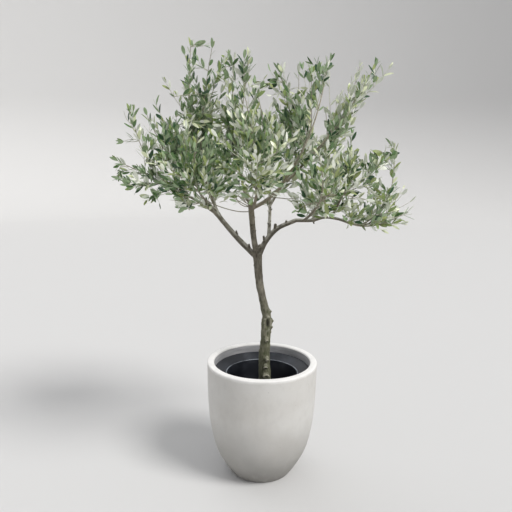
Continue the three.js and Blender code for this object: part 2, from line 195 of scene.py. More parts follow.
studio = {
    "floorRadius": 9.0,
    "bend": 2.5,  # radius of the sweep from floor to wall
    "bendSteps": 16,
    "wallTop": 8.0,
    "steps": 128,
    "floorColor": "d0d0d0",
    "floorRoughness": 0.9,
    "skyColor": "f5f5f6",
    "skyStrength": 0.56,
    "suns": {  # degrees: turn from the front towards the right, rise above the floor, and how soft
        "key": {"turn": 56, "rise": 48, "spread": 22, "strength": 2.4, "color": "fffdfa"},
        "back": {"turn": 215, "rise": 40, "spread": 60, "strength": 0.6, "color": "f8faff"},
    },
}


def makeStudio():
    radius, bend, bendSteps = studio["floorRadius"], studio["bend"], studio["bendSteps"]
    turns = [math.pi / 2 * k / bendSteps for k in range(bendSteps + 1)]
    sweep = [(radius + bend * math.sin(t), bend * (1 - math.cos(t))) for t in turns]
    bm = spunMesh([(0, 0), *sweep, (radius + bend, studio["wallTop"])], studio["steps"])
    if max(bm.faces, key=lambda f: f.calc_area()).normal.z < 0:
        bmesh.ops.reverse_faces(bm, faces=bm.faces)
    floor = newObject("studioFloor", meshOf(bm, "studioFloor"))
    floor.data.materials.append(newMaterial("studioFloor", studio["floorColor"], studio["floorRoughness"])[0])
    floor.visible_shadow = False  # the suns stand outside the wall
    world = bpy.data.worlds.new("studioSky")
    world.use_nodes = True
    sky = world.node_tree.nodes["Background"]
    sky.inputs["Color"].default_value = linear(studio["skyColor"])
    sky.inputs["Strength"].default_value = studio["skyStrength"]
    scene.world = world
    for name, sun in studio["suns"].items():
        data = bpy.data.lights.new(name + "Sun", "SUN")
        data.angle = math.radians(sun["spread"])
        data.energy = sun["strength"]
        data.color = linear(sun["color"])[:3]
        lamp = newObject(name + "Sun", data)
        lamp.rotation_euler = (math.radians(90 - sun["rise"]), 0, math.radians(sun["turn"]))
    print("studio: sweep, sky and", len(studio["suns"]), "suns")


# materials: their nodes, and the effects that several finishes share, as node groups

def newMaterial(name, color, roughness=0.5):
    material = bpy.data.materials.new(name)
    material.use_nodes = True
    shader = material.node_tree.nodes["Principled BSDF"]
    shader.inputs["Base Color"].default_value = linear(color)
    shader.inputs["Roughness"].default_value = roughness
    return material, material.node_tree, shader


def place(tree, kind, links=(), **settings):  # one node or group, its settings, and what feeds its sockets
    isGroup = not isinstance(kind, str)
    node = tree.nodes.new("ShaderNodeGroup" if isGroup else "ShaderNode" + kind)
    if isGroup:
        node.node_tree = kind
    for key, value in settings.items():
        setattr(node, key, value)
    for socket, source in dict(links).items():
        if isinstance(source, bpy.types.NodeSocket):
            tree.links.new(source, node.inputs[socket])
        else:
            node.inputs[socket].default_value = linear(source) if isinstance(source, str) else source
    return node.outputs


def mixed(tree, share, base, patch):  # base at 0, patch at 1
    return place(tree, "Mix", {0: share, 6: base, 7: patch}, data_type="RGBA")[2]


def ranged(tree, value, low, high, start=0.0, end=1.0):  # start to end becomes low to high
    given = {"Value": value, "From Min": start, "From Max": end, "To Min": low, "To Max": high}
    return place(tree, "MapRange", given)["Result"]


def computed(tree, operation, *values):
    return place(tree, "Math", dict(enumerate(values)), operation=operation)["Value"]


def attribute(tree, name):
    return place(tree, "Attribute", attribute_name=name)["Fac"]


def stretchedSpot(tree, stretch):
    spot = place(tree, "TexCoord")["Object"]
    return place(tree, "VectorMath", {0: spot, 1: stretch}, operation="MULTIPLY")["Vector"]


def newGroup(name, inputs, outputs):  # a number makes a Float input, three a Vector and four a Color
    kinds = {1: "Float", 3: "Vector", 4: "Color"}
    group = bpy.data.node_groups.new(name, "ShaderNodeTree")
    for label, value in inputs.items():
        kind = kinds[len(value) if isinstance(value, tuple) else 1]
        socket = group.interface.new_socket(label, in_out="INPUT", socket_type="NodeSocket" + kind)
        socket.default_value = value
    for label, kind in outputs.items():
        group.interface.new_socket(label, in_out="OUTPUT", socket_type="NodeSocket" + kind)
    return group, group.nodes.new("NodeGroupInput").outputs, group.nodes.new("NodeGroupOutput").inputs


def makeMottle():  # soft patches of a second colour, stretched as the finish needs
    group, given, made = newGroup(
        "mottle",
        {"Base": (0.5, 0.5, 0.5, 1), "Patch": (0.4, 0.4, 0.4, 1), "Stretch": (1, 1, 1),
         "Scale": 10.0, "Low": 0.4, "High": 0.65},
        {"Color": "Color", "Mask": "Float"})
    spread = stretchedSpot(group, given["Stretch"])
    cloud = place(
        group, "TexNoise", {"Vector": spread, "Scale": given["Scale"], "Detail": 5.0, "Roughness": 0.6})
    mask = ranged(group, cloud["Fac"], 0.0, 1.0, given["Low"], given["High"])
    group.links.new(mixed(group, mask, given["Base"], given["Patch"]), made["Color"])
    group.links.new(mask, made["Mask"])
    return group


def makeGrain():  # fine tooth with scattered small pits, as a height
    group, given, made = newGroup(
        "grain",
        {"Scale": 400.0, "Pit Scale": 90.0, "Pit Size": 0.12, "Pits": 1.0, "Stretch": (1, 1, 1)},
        {"Height": "Float", "Pit": "Float"})
    spread = stretchedSpot(group, given["Stretch"])
    tooth = place(group, "TexNoise", {"Vector": spread, "Scale": given["Scale"], "Detail": 4.0})["Fac"]
    cells = place(group, "TexVoronoi", {"Vector": spread, "Scale": given["Pit Scale"]})["Distance"]
    pit = ranged(group, cells, 1.0, 0.0, 0.0, given["Pit Size"])
    deep = computed(group, "MULTIPLY", pit, given["Pits"])
    group.links.new(computed(group, "SUBTRACT", tooth, deep), made["Height"])
    group.links.new(deep, made["Pit"])
    return group


def makeHeightFade():  # 0 below, 1 above, with a broken edge
    group, given, made = newGroup(
        "heightFade", {"Bottom": 0.0, "Top": 1.0, "Break": 0.1, "Scale": 20.0}, {"Mask": "Float"})
    spot = place(group, "TexCoord")["Object"]
    level = place(group, "SeparateXYZ", {0: spot})["Z"]
    cloud = place(group, "TexNoise", {"Vector": spot, "Scale": given["Scale"], "Detail": 4.0})["Fac"]
    shift = computed(group, "SUBTRACT", cloud, 0.5)
    broken = computed(group, "MULTIPLY_ADD", shift, given["Break"], level)
    group.links.new(ranged(group, broken, 0.0, 1.0, given["Bottom"], given["Top"]), made["Mask"])
    return group


def patched(tree, base, patch, scale, low, high, stretch=(1, 1, 1)):
    return place(tree, mottle, {
        "Base": base, "Patch": patch, "Stretch": stretch, "Scale": scale, "Low": low, "High": high})


def fadedUp(tree, bottom, top, edge, scale):
    return place(tree, heightFade, {"Bottom": bottom, "Top": top, "Break": edge, "Scale": scale})["Mask"]


def dress(tree, shader, color, mask=None, rough=None, bump=None):  # bump is (height, strength, distance)
    tree.links.new(color, shader.inputs["Base Color"])
    if rough:
        tree.links.new(ranged(tree, mask, *rough), shader.inputs["Roughness"])
    if bump:
        relief = place(tree, "Bump", dict(zip(("Height", "Strength", "Distance"), bump)))
        tree.links.new(relief["Normal"], shader.inputs["Normal"])


mottle, grain, heightFade = makeMottle(), makeGrain(), makeHeightFade()
makeCamera()
makeStudio()

# planter

planter = {
    "height": 456 * mm,
    "rimRadius": 215 * mm,
    "wall": 27 * mm,
    "rimRound": 6 * mm,
    "floor": 32 * mm,
    "outline": [  # share of the height, and radius in mm
        (0, 118), (0.012, 123), (0.098, 149), (0.237, 181), (0.434, 202), (0.622, 210.5), (0.81, 214)],
    "outlineStep": 9 * mm,
    "footRecess": 3 * mm,
    "footRing": [(16, 1), (12, 0.5), (9, 0), (4, 0)],  # mm in from the foot's edge, and share of the recess
    "insideSteps": 24,
    "steps": 144,
    "waver": 0.5 * mm,  # hand-finished unevenness of the wall
    "waverScale": 9,
    "evenRadius": 60 * mm,  # no waver inside this
    "clay": "cecdca",
    "clayWarm": "c4c1bc",
    "clayDark": "b6b4b0",
    # painted shade on the lower pot
    "clayFootShade": "898783",
    # painted shade in the small pits
    "clayPitShade": "8d8a84",
    # painted highlight on the top of the rim
    "rimHighlight": "efeeed",
    "rough": (0.8, 0.92),
    # painted shade: the inside of the pot is darker than the outside
    "innerShade": "b0b0b3",
    "innerDark": "929397",
    "innerRough": (0.8, 0.95),
}

planterOuterLine = [
    (p.x, p.y) for p in curveThrough(
        [(r * mm, s * planter["height"], 0) for s, r in planter["outline"]]
        + [(planter["rimRadius"], planter["height"] - planter["rimRound"], 0)], planter["outlineStep"])]


def planterOuter(height):  # outer radius at a height
    line = planterOuterLine
    for low, high in zip(line, line[1:]):
        if high[1] >= height:
            share = (height - low[1]) / max(1e-9, high[1] - low[1])
            return low[0] + (high[0] - low[0]) * share
    return line[-1][0]


def makeClay():
    material, tree, shader = newMaterial("castClay", planter["clay"])
    clouds = patched(tree, planter["clay"], planter["clayWarm"], scale=6.0, low=0.4, high=0.9)["Color"]
    # painted shade: the clay darkens towards the foot
    aboveFoot = fadedUp(tree, bottom=0.0, top=0.27, edge=0.08, scale=9.0)
    footShaded = mixed(tree, aboveFoot, planter["clayFootShade"], clouds)
    streaks = patched(tree, footShaded, planter["clayDark"], scale=30.0, low=0.5, high=1.3, stretch=(1, 1, 0.6))
    # painted highlight: the rim's top is near white
    rimLit = fadedUp(tree, bottom=0.442, top=0.456, edge=0.014, scale=26.0)
    rim = mixed(tree, rimLit, streaks["Color"], planter["rimHighlight"])
    tooth = place(tree, grain, {"Scale": 520.0, "Pit Scale": 24.0, "Pit Size": 0.05, "Pits": 0.8})
    # painted shade in the pits
    pitted = mixed(tree, tooth["Pit"], rim, planter["clayPitShade"])
    dress(tree, shader, pitted, streaks["Mask"], planter["rough"], (tooth["Height"], 0.25, 0.6 * mm))
    return material


def makeShadedInnerClay():  # the inside, darker as painted shade, brushed round
    material, tree, shader = newMaterial("innerClayShaded", planter["innerShade"])
    brushed = patched(
        tree, planter["innerShade"], planter["innerDark"], scale=12.0, low=0.4, high=0.7, stretch=(1, 1, 6))
    tooth = place(tree, grain, {
        "Scale": 300.0, "Pit Scale": 80.0, "Pit Size": 0.08, "Pits": 0.6, "Stretch": (1, 1, 3)})
    bump = (tooth["Height"], 0.3, 0.8 * mm)
    dress(tree, shader, brushed["Color"], brushed["Mask"], planter["innerRough"], bump)
    return material


def makePlanter():
    wall, recess, bend = planter["wall"], planter["footRecess"], planter["rimRound"]
    radius, floor, shoulder = planter["rimRadius"], planter["floor"], planter["height"] - bend
    rim = []
    for centre, turns in ((radius - bend, range(1, 6)), (radius - wall + bend, range(5, 11))):
        for k in turns:  # a quarter round, in ten steps for the half circle
            turn = math.pi / 10 * k
            rim.append((centre + math.cos(turn) * bend, shoulder + math.sin(turn) * bend))
    steps = planter["insideSteps"]
    levels = [shoulder + (floor - shoulder) * k / steps for k in range(1, steps + 1)]
    inside = [(planterOuter(level) - wall, level) for level in levels]
    foot = planter["outline"][0][1] * mm
    underside = [(0, recess)] + [(foot - away * mm, recess * share) for away, share in planter["footRing"]]
    bm = spunMesh(underside + planterOuterLine + rim + inside + [(0, floor)], planter["steps"])
    for vert in bm.verts:
        if recess < vert.co.z < shoulder and vert.co.xy.length > planter["evenRadius"]:
            sway = noise.noise(vert.co * planter["waverScale"]) - 0.6  # inwards, to keep the pot's size
            vert.co.xy *= 1 + planter["waver"] * sway / vert.co.xy.length
    bm.normal_update()
    for face in bm.faces:
        middle = face.calc_center_median()
        # inward faces below the rim take the darker inside with its painted shade
        if floor < middle.z < shoulder and face.normal.xy.dot(middle.xy) < 0:
            face.material_index = 1
    addPiece("planterPot", meshOf(bm, "planterPot"), [makeClay(), makeShadedInnerClay()], ["planter"])


makePlanter()

# liner and soil

liner = {
    "collarTop": 423.6 * mm,
    "collarRadius": 184.5 * mm,
    "collarShape": [  # mm from its top edge
        (-3, -9), (-0.5, -6), (0, -1), (-1.2, 0), (-4.5, -0.4), (-7, -2.6)],
    "lipTop": 404 * mm,
    "lipRadius": 141 * mm,
    "ledgeShape": [(8, 1.2), (4, -1.2)],  # mm from the lip's middle
    "bead": 2.6 * mm,
    "wall": 4 * mm,
    "footRadius": 96 * mm,
    "floor": 32.4 * mm,
    "steps": 128,
    "plastic": "23262d",
    "dust": "454951",
    "shade": "0b0f18",
    "rough": (0.36, 0.62),
    # painted highlight: the bead's top is pale where it catches the light
    "wornAndLit": "878e96",
    "beadRoughness": 0.42,
}


def makeLinerPlastic():
    material, tree, shader = newMaterial("linerPlastic", liner["plastic"])
    dusty = patched(tree, liner["plastic"], liner["dust"], scale=16.0, low=0.5, high=0.85)
    # painted shade: below the ledge the liner turns near black, deep in the pot
    ledge = fadedUp(tree, bottom=0.36, top=0.42, edge=0.01, scale=40.0)
    shadedDeep = mixed(tree, ledge, liner["shade"], dusty["Color"])
    tooth = place(tree, grain, {"Scale": 900.0, "Pits": 0.0})
    dress(tree, shader, shadedDeep, dusty["Mask"], liner["rough"], (tooth["Height"], 0.12, 0.3 * mm))
    return material


def makeBeadPlastic():
    # the bead's top with its painted highlight, dust patches over it
    material, tree, shader = newMaterial("linerBead", liner["wornAndLit"], liner["beadRoughness"])
    tone = patched(tree, liner["wornAndLit"], liner["dust"], scale=30.0, low=0.4, high=0.7)
    dress(tree, shader, tone["Color"])
    return material


def makeLiner():
    lip, bead, top, wall = liner["lipRadius"], liner["bead"], liner["lipTop"], liner["wall"]
    collar, collarTop = liner["collarRadius"], liner["collarTop"]
    floor, foot = liner["floor"], liner["footRadius"]
    turns = [math.pi * (k / 10 * 1.15 - 0.05) for k in range(11)]  # a little more than a half circle
    profile = [(0, floor), (foot, floor), (lip - 3 * mm, top - 14 * mm)]
    profile += [(collar + out * mm, collarTop + up * mm) for out, up in liner["collarShape"]]
    profile += [(lip + out * mm, top + up * mm) for out, up in liner["ledgeShape"]]
    profile += [(lip + math.cos(turn) * bead, top + math.sin(turn) * bead) for turn in turns]
    profile += [(lip - 5 * mm, top - 10 * mm), (foot - wall, floor + wall), (0, floor + wall)]
    bm = spunMesh(profile, liner["steps"])
    # the top of the bead takes the material with the painted highlight
    for face in bm.faces:
        middle = face.calc_center_median()
        if math.hypot(middle.xy.length - lip, middle.z - top) < bead * 1.1 and middle.z > top + bead * 0.5:
            face.material_index = 1
    materials = [makeLinerPlastic(), makeBeadPlastic()]
    addPiece("linerPot", meshOf(bm, "linerPot"), materials, ["liner"])


soil = {
    "top": 317 * mm,
    "radius": 127 * mm,
    "bottom": 37 * mm,
    "footRadius": 90 * mm,
    "rings": 22,
    "steps": 72,
    "lumps": [(60, 2.2), (170, 1.3)],  # scale of the noise, and its height in mm
    "sink": 2.5,  # mm, so no lump stands above the level
    "roughness": 0.95,
    "color": "1f1a16",
    "light": "3a3129",
    "crumbs": 420,
    "crumbSizes": (1.2, 4.0),
    "trunkRoom": 35 * mm,
    "seed": 7,
}


def makeSoilMaterial():
    material, tree, shader = newMaterial("pottingSoil", soil["color"], soil["roughness"])
    crumbly = patched(tree, soil["color"], soil["light"], scale=90.0, low=0.5, high=0.8)["Color"]
    tooth = place(tree, grain, {"Scale": 260.0, "Pit Scale": 160.0, "Pit Size": 0.3, "Pits": 0.5})
    dress(tree, shader, crumbly, bump=(tooth["Height"], 0.8, 2 * mm))
    return material


def makeSoil():
    top, radius, bottom, rings = soil["top"], soil["radius"], soil["bottom"], soil["rings"]
    surface = [(radius * (1 - k / rings), top) for k in range(rings)]
    profile = [(0, bottom), (soil["footRadius"], bottom), (radius, top - 5 * mm), *surface, (0, top)]
    bm = spunMesh(profile, soil["steps"])
    for vert in bm.verts:
        if vert.co.z > top - 1 * mm:
            lumps = sum(noise.noise(vert.co * scale) * height for scale, height in soil["lumps"])
            vert.co.z += (lumps - soil["sink"]) * mm
    material = makeSoilMaterial()
    addPiece("soilTop", meshOf(bm, "soilTop"), [material], ["soil"])
    draw = makeRandom(soil["seed"])
    crumbs = bmesh.new()
    for _ in range(soil["crumbs"]):
        away = radius * 0.95 * math.sqrt(draw())
        turn = draw(0, math.tau)
        size = draw(*soil["crumbSizes"]) * mm
        if away < soil["trunkRoom"]:
            continue
        spot = Vector((math.cos(turn) * away, math.sin(turn) * away, top - 1.5 * mm))
        rolled = Matrix.Rotation(draw(0, 3), 4, (draw(), draw(), 1))
        sized = Matrix.Diagonal((size, size * draw(0.6, 1), size * draw(0.4, 0.8), 1))
        shape = Matrix.Translation(spot) @ rolled @ sized
        bmesh.ops.create_icosphere(crumbs, subdivisions=1, radius=1, matrix=shape)
    addPiece("soilCrumbs", meshOf(crumbs, "soilCrumbs", smooth=False), [material])


makeLiner()
makeSoil()

# trunk and limbs: one skin of bark over joined tubes

trunk = {
    "rings": [  # centre and radius, from the soil to the fork, mm
        (19, 0, 314, 32), (18, 0, 322, 29), (15, 0, 338, 25.5), (11, 0, 400, 23.2), (9, 0, 465, 20.5),
        (13, 0, 550, 17.6), (16, 0, 602, 19), (15, 0, 640, 16.4), (4, 0, 686, 13.6), (-11, 0, 755, 13.9),
        (-19, 0, 828, 14.8), (-22, 0, 882, 16.8)],
    "step": 6 * mm,  # between the points of every limb's axis
    "sides": 16,
    "voxel": 1.7 * mm,
    "swell": 0.8 * mm,  # what the skin's smoothing takes off
    "bark": "413c34",
    "barkPale": "696256",
    "barkDark": "1f1d18",
    # worn ridge crests, pale enough to stand for their painted highlight too
    "crest": "9c9786",
    "moss": "48522f",
    # painted highlight on the lips of the scars
    "lipHighlightColor": "b8b5a6",
    "bloom": "8f8a7c",
    # painted highlight: the pale colour laid on the upper sides of the limbs and on the bough behind
    "highlightPale": "dad7cd",
    "young": "9a8f74",
    # painted shade in the pits of the scars
    "pitShadeColor": "1f1e17",
    "rough": (0.92, 0.72),  # of the dark and of the pale bark
}

limbs = {  # centres that each limb runs through, and its radius at root and tip, mm
    "bough_left": (
        [(-24, 3, 866), (-90, 17, 928), (-151, 30, 995), (-189, 36, 1040), (-216, 38, 1070)], 11, 8),
    "bough_leader": ([(-23, -4, 868), (-36, -20, 940), (-45, -48, 1033), (-49, -63, 1083)], 11, 9.8),
    "bough_right": ([(-18, 4, 870), (6, 12, 922), (50, 18, 973), (122, 12, 1008)], 11, 7.2),
    "bough_right_outer": (
        [(121, 12, 1008), (184, 4, 1010), (228, -2, 1022), (280, -6, 1016), (326, -8, 1000)], 7, 4.2),
    "bough_back": ([(20, 16, 942), (24, 58, 1024), (24, 92, 1096)], 6.8, 5.2),
    "limb_leader_right": ([(-46, -57, 1056), (8, -68, 1089), (59, -80, 1138), (134, -78, 1214)], 7, 4.6),
    "limb_left_outer": ([(-180, 33, 1029), (-246, 42, 1071), (-312, 44, 1106)], 6.2, 4.2),
    "limb_top_left": ([(-176, 34, 1025), (-195, 66, 1082), (-222, 72, 1147)], 6, 4.6),
    "limb_left_front": ([(-158, 31, 1003), (-195, -24, 1050), (-222, -84, 1100)], 6, 4.4),
    "limb_left_back": ([(-154, 31, 999), (-185, 88, 1043), (-212, 140, 1086)], 6, 4.4),
    "limb_leader_up": ([(-48, -58, 1068), (-66, -50, 1100), (-78, -38, 1140)], 5, 4.2),
    "limb_centre_front": ([(-46, -51, 1043), (-34, -104, 1080), (-28, -150, 1112)], 6, 4.4),
    "limb_top_right": ([(24, 74, 1056), (48, 84, 1098), (70, 92, 1144)], 5, 4.2),
    "limb_upper_right": ([(62, -79, 1143), (88, -100, 1190), (108, -118, 1226)], 5, 4.2),
    "limb_right_front": ([(150, 8, 1007), (174, -52, 1040), (188, -110, 1074)], 5.2, 4.2),
    "limb_right_back": ([(182, 4, 1010), (205, 58, 1042), (228, 118, 1080)], 5, 4.2),
    "limb_right_middle": ([(250, -4, 1021), (270, -11, 1058), (284, -18, 1092)], 4.6, 3.8),
}

spurs = [  # stubs of pruned shoots: root, tip and radius at each, mm
    ((43, 18, 962), (45, 14, 994), 6.5, 5.5), ((-48, -58, 1068), (-51, -74, 1090), 7.5, 6.2),
    ((14, 0, 644), (29, 0, 660), 14, 8), ((18, -2, 586), (31, -2, 602), 17, 14.5),
    ((20, -2, 600), (35, -2, 624), 15, 11), ((15, -2, 566), (32, -5, 577), 11, 6.5),
    ((13, -6, 540), (17, -24, 551), 10, 8), ((10, 0, 488), (-13, -3, 495), 10, 6.5),
    ((9, -6, 458), (21, -26, 472), 10, 8), ((10, -6, 430), (15, -27, 441), 10, 8),
    ((12, -4, 390), (16, -28, 403), 12, 11), ((-19, 0, 828), (-36, -2, 838), 7.5, 4),
    ((22, 40, 990), (14, 36, 995), 3.6, 2.6), ((24, 62, 1034), (15, 58, 1039), 3.6, 2.6),
    ((-18, -8, 906), (-11, -20, 919), 6, 4.4), ((-52, 8, 900), (-55, -4, 918), 5.5, 3.8),
    ((4, 16, 925), (0, 8, 948), 5, 3.6), ((84, 18, 992), (86, 10, 1008), 5, 3.4),
    ((-100, 20, 950), (-104, 16, 968), 5, 3.2), ((-40, -30, 966), (-28, -36, 976), 4, 2.8),
    ((-44, -46, 1018), (-32, -50, 1026), 4, 2.6), ((24, 66, 1040), (34, 62, 1046), 3.4, 2.2),
    ((186, 4, 1010), (190, 0, 996), 4, 2.4),
]

scars = [  # pits and healed rings in the bark: centre, half width and height, how deep, how high its lip, mm
    ((20, -19, 611), 11.5, 23, 10, 1.4), ((18, -27, 538), 6, 6, 5.5, 2.4),
    ((22, -30, 460), 6, 6, 5.5, 2.4), ((14, -32, 430), 9, 6, 5.5, 2.4), ((17, -36, 396), 11, 9, 5.5, 2.8),
    ((41, 2, 621), 6, 6, 3.0, 1.0), ((-14, -4, 499), 4.5, 4.5, 2.5, 1.0), ((30, 14, 520), 5, 7, 3.5, 1.6),
    ((-4, 18, 575), 5, 6, 3.5, 1.6), ((20, 22, 440), 6, 6, 3.5, 1.8), ((-15, -20, 905), 4, 5, 2.5, 1.2),
    ((-51, -76, 1091), 5.5, 5.5, 2.0, 0.4), ((17, 36, 990), 6, 5, 0.5, 0.2),
    ((26, 42, 1000), 6, 3.5, 0.5, 0.2), ((18, 56, 1030), 6, 4, 0.5, 0.2),
    ((28, 66, 1050), 6, 5, 0.5, 0.2),
]

relief = {
    "oldBark": (0.62, 0.86),  # rough below these heights, smoother above
    "trunkTop": (0.86, 0.93),
    "bigLumps": (34, 1.7),  # scale of the noise, and its share
    "smallLumps": (75, 0.9),
    "ridgeScale": 190,
    "crackScale": 330,
    "trunkStretch": 0.22,  # ridges and cracks run along the wood
    "limbStretch": 0.7,
    "lumps": (0.35, 1.0),  # height on smooth bark and what rough bark adds, mm
    "ridges": (0.18, 0.6),
    "cracks": (0.12, 0.4),
    "scarReach": 40 * mm,
    "pit": (0.25, 1.0),  # where a scar's slope begins and ends, in shares of its size
    # painted shade in the scar pits: where it fades, and how dark it gets
    "shadeSpan": (0.45, 0.9),
    "shadeMost": 0.85,
    "lip": (1.2, 0.28),  # where its lip stands, and how wide
    "lipEnd": 2.2,
    "fullLip": 2.4,  # mm, a lip that takes the full painted highlight
    "paintedHighlight": (0.0, 0.6),  # how far a side faces up, for the painted highlight on the upper sides
    # how much less painted highlight the trunk takes, and how much the bough behind takes all round
    "trunkShade": 0.85,
    "backSun": 0.9,
    "backBough": {"left": 12 * mm, "right": 36 * mm, "near": 28 * mm, "top": 1.08},  # the bough behind, painted with the highlight colour all round
}


def limbAxis(limb):
    return routeThrough(limbs[limb][0], trunk["step"])


def barkSkin():
    rings = [Vector(r[:3]) * mm for r in trunk["rings"]]
    line = curveThrough(rings, trunk["step"])
    radii = []
    for point in line:
        upper = next((i for i, r in enumerate(rings) if i and r.z >= point.z - 1e-6), len(rings) - 1)
        share = smoothStep(point.z, rings[upper - 1].z, rings[upper].z)
        low, high = trunk["rings"][upper - 1][3], trunk["rings"][upper][3]
        radii.append((low + (high - low) * share) * mm + trunk["swell"])
    tubes = [(line, radii)]
    for limb, (_, root, tip) in limbs.items():
        line = limbAxis(limb)
        count = len(line) - 1
        sizes = [(root + (tip - root) * i / count) * mm for i in range(count + 1)]
        tubes.append((line, [size + trunk["swell"] / 2 for size in sizes]))
    for start, end, root, tip in spurs:
        tubes.append(([Vector(start) * mm, Vector(end) * mm], [root * mm, tip * mm]))
    return settledMesh("barkSkin", tubesMesh("barkTubes", tubes, trunk["sides"]), [
        ("REMESH", {"mode": "VOXEL", "voxel_size": trunk["voxel"]}),
        ("SMOOTH", {"factor": 0.5, "iterations": 4})])


def scarsAt(spot, marks):  # height in mm, the painted shade in a scar's pit, and the painted highlight on its lip
    height, pitShade, lipHighlight = 0.0, 0.0, 0.0
    for centre, wide, tall, deep, high in marks:
        gap = spot - centre
        if gap.length > relief["scarReach"]:
            continue
        reach = math.hypot(math.hypot(gap.x, gap.y) / wide, gap.z / tall) / mm
        if reach < relief["lipEnd"]:
            lipAt, lipWidth = relief["lip"]
            lip = math.exp(-((reach - lipAt) / lipWidth) ** 2)
            height += -deep * (1 - smoothStep(reach, *relief["pit"])) + high * lip
            # painted shade in the pit
            pitShade = max(pitShade, (1 - smoothStep(reach, *relief["shadeSpan"])) * relief["shadeMost"])
            broken = 0.6 + noise.noise(spot * 120) * 1.2
            # painted highlight on the lip, broken up
            lipHighlight = max(lipHighlight, lip * broken * min(1, high / relief["fullLip"]))
    return height, pitShade, lipHighlight


def barkRelief(mesh):
    bm = bmesh.new()
    bm.from_mesh(mesh)
    bm.normal_update()
    masks = ("pitShade", "lipHighlight", "paintedHighlight", "ridge")
    layers = [bm.verts.layers.float.new(mask) for mask in masks]
    marks = [(Vector(centre) * mm, *sizes) for centre, *sizes in scars]
    (bigScale, bigShare), (smallScale, smallShare) = relief["bigLumps"], relief["smallLumps"]
    behind = relief["backBough"]
    moves = []
    for vert in bm.verts:
        spot, normal = vert.co, vert.normal
        old = 1 - smoothStep(spot.z, *relief["oldBark"])
        isTrunk = 1 - smoothStep(spot.z, *relief["trunkTop"])
        stretch = relief["trunkStretch" if isTrunk > 0.5 else "limbStretch"]
        drawn = Vector((spot.x, spot.y, spot.z * stretch))
        lumps = noise.noise(spot * bigScale) * bigShare
        lumps += noise.noise(spot * smallScale + Vector((3, 1, 7))) * smallShare
        ridges = 1 - abs(noise.noise(drawn * relief["ridgeScale"])) * 2
        cracks = noise.noise(drawn * relief["crackScale"] + Vector((5, 5, 5)))
        height = 0.0
        for kind, rise in (("lumps", lumps), ("ridges", ridges), ("cracks", cracks)):
            smooth, rough = relief[kind]
            height += rise * (smooth + rough * old)
        dent, pitShade, lipHighlight = scarsAt(spot, marks)
        # painted highlight: upward sides are given the pale colour, less on the trunk, and the bough behind
        # all round
        paintedHighlight = smoothStep(normal.z, *relief["paintedHighlight"]) * (1 - relief["trunkShade"] * isTrunk)
        if behind["left"] < spot.x < behind["right"] and spot.y > behind["near"] and spot.z < behind["top"]:
            paintedHighlight = max(paintedHighlight, relief["backSun"])
        paintedHighlight *= min(1.0, max(0.0, 0.75 + noise.noise(spot * 60) * 1.4))
        for layer, value in zip(layers, (pitShade, lipHighlight, paintedHighlight, min(1.0, max(0.0, 0.5 + 0.5 * ridges)))):
            vert[layer] = value
        moves.append(normal * ((height + dent) * mm))
    ground = trunk["rings"][0][2] * mm
    for vert, move in zip(bm.verts, moves):
        vert.co += move
        vert.co.z = max(vert.co.z, ground)
    for face in bm.faces:
        face.smooth = True
    bm.to_mesh(mesh)
    bm.free()


def makeBark():
    material, tree, shader = newMaterial("oliveBark", trunk["bark"])
    patches = patched(
        tree, trunk["bark"], trunk["barkPale"], scale=55.0, low=0.46, high=0.72, stretch=(1, 1, 0.45))
    stripes = patched(
        tree, patches["Color"], trunk["barkDark"], scale=260.0, low=0.52, high=0.8, stretch=(1, 1, 0.2))
    upper = fadedUp(tree, bottom=0.60, top=0.76, edge=0.12, scale=22.0)
    green = mixed(tree, 0.62, stripes["Color"], trunk["moss"])
    mossy = mixed(tree, upper, green, stripes["Color"])
    high = fadedUp(tree, bottom=0.98, top=1.14, edge=0.08, scale=18.0)
    aged = mixed(tree, ranged(tree, high, 0.0, 0.65), mossy, trunk["young"])
    # ridge crests paler: worn bark, and partly painted highlight
    crest = ranged(tree, attribute(tree, "ridge"), 0.0, 0.3, start=0.45)
    wornAndLit = mixed(tree, crest, aged, trunk["crest"])
    # painted highlight on the upper sides and on the bough behind
    highlighted = mixed(tree, ranged(tree, attribute(tree, "paintedHighlight"), 0.0, 0.85), wornAndLit, trunk["highlightPale"])
    bloomed = patched(tree, highlighted, trunk["bloom"], scale=42.0, low=0.5, high=0.78, stretch=(1, 1, 0.5))
    # painted highlight on the scar lips, then painted shade in their pits
    lipped = mixed(tree, attribute(tree, "lipHighlight"), bloomed["Color"], trunk["lipHighlightColor"])
    pitShaded = mixed(tree, attribute(tree, "pitShade"), lipped, trunk["pitShadeColor"])
    tooth = place(tree, grain, {
        "Scale": 420.0, "Pit Scale": 230.0, "Pit Size": 0.2, "Pits": 0.5, "Stretch": (1, 1, 0.35)})
    dress(tree, shader, pitShaded, patches["Mask"], trunk["rough"], (tooth["Height"], 0.5, 0.8 * mm))
    return material


def makeTrunk():
    mesh = barkSkin()
    barkRelief(mesh)
    mesh.name = "trunkBark"
    addPiece("trunkBark", mesh, [makeBark()], ["trunk", *limbs])


makeTrunk()

# the growth rule, carried to finer twigs

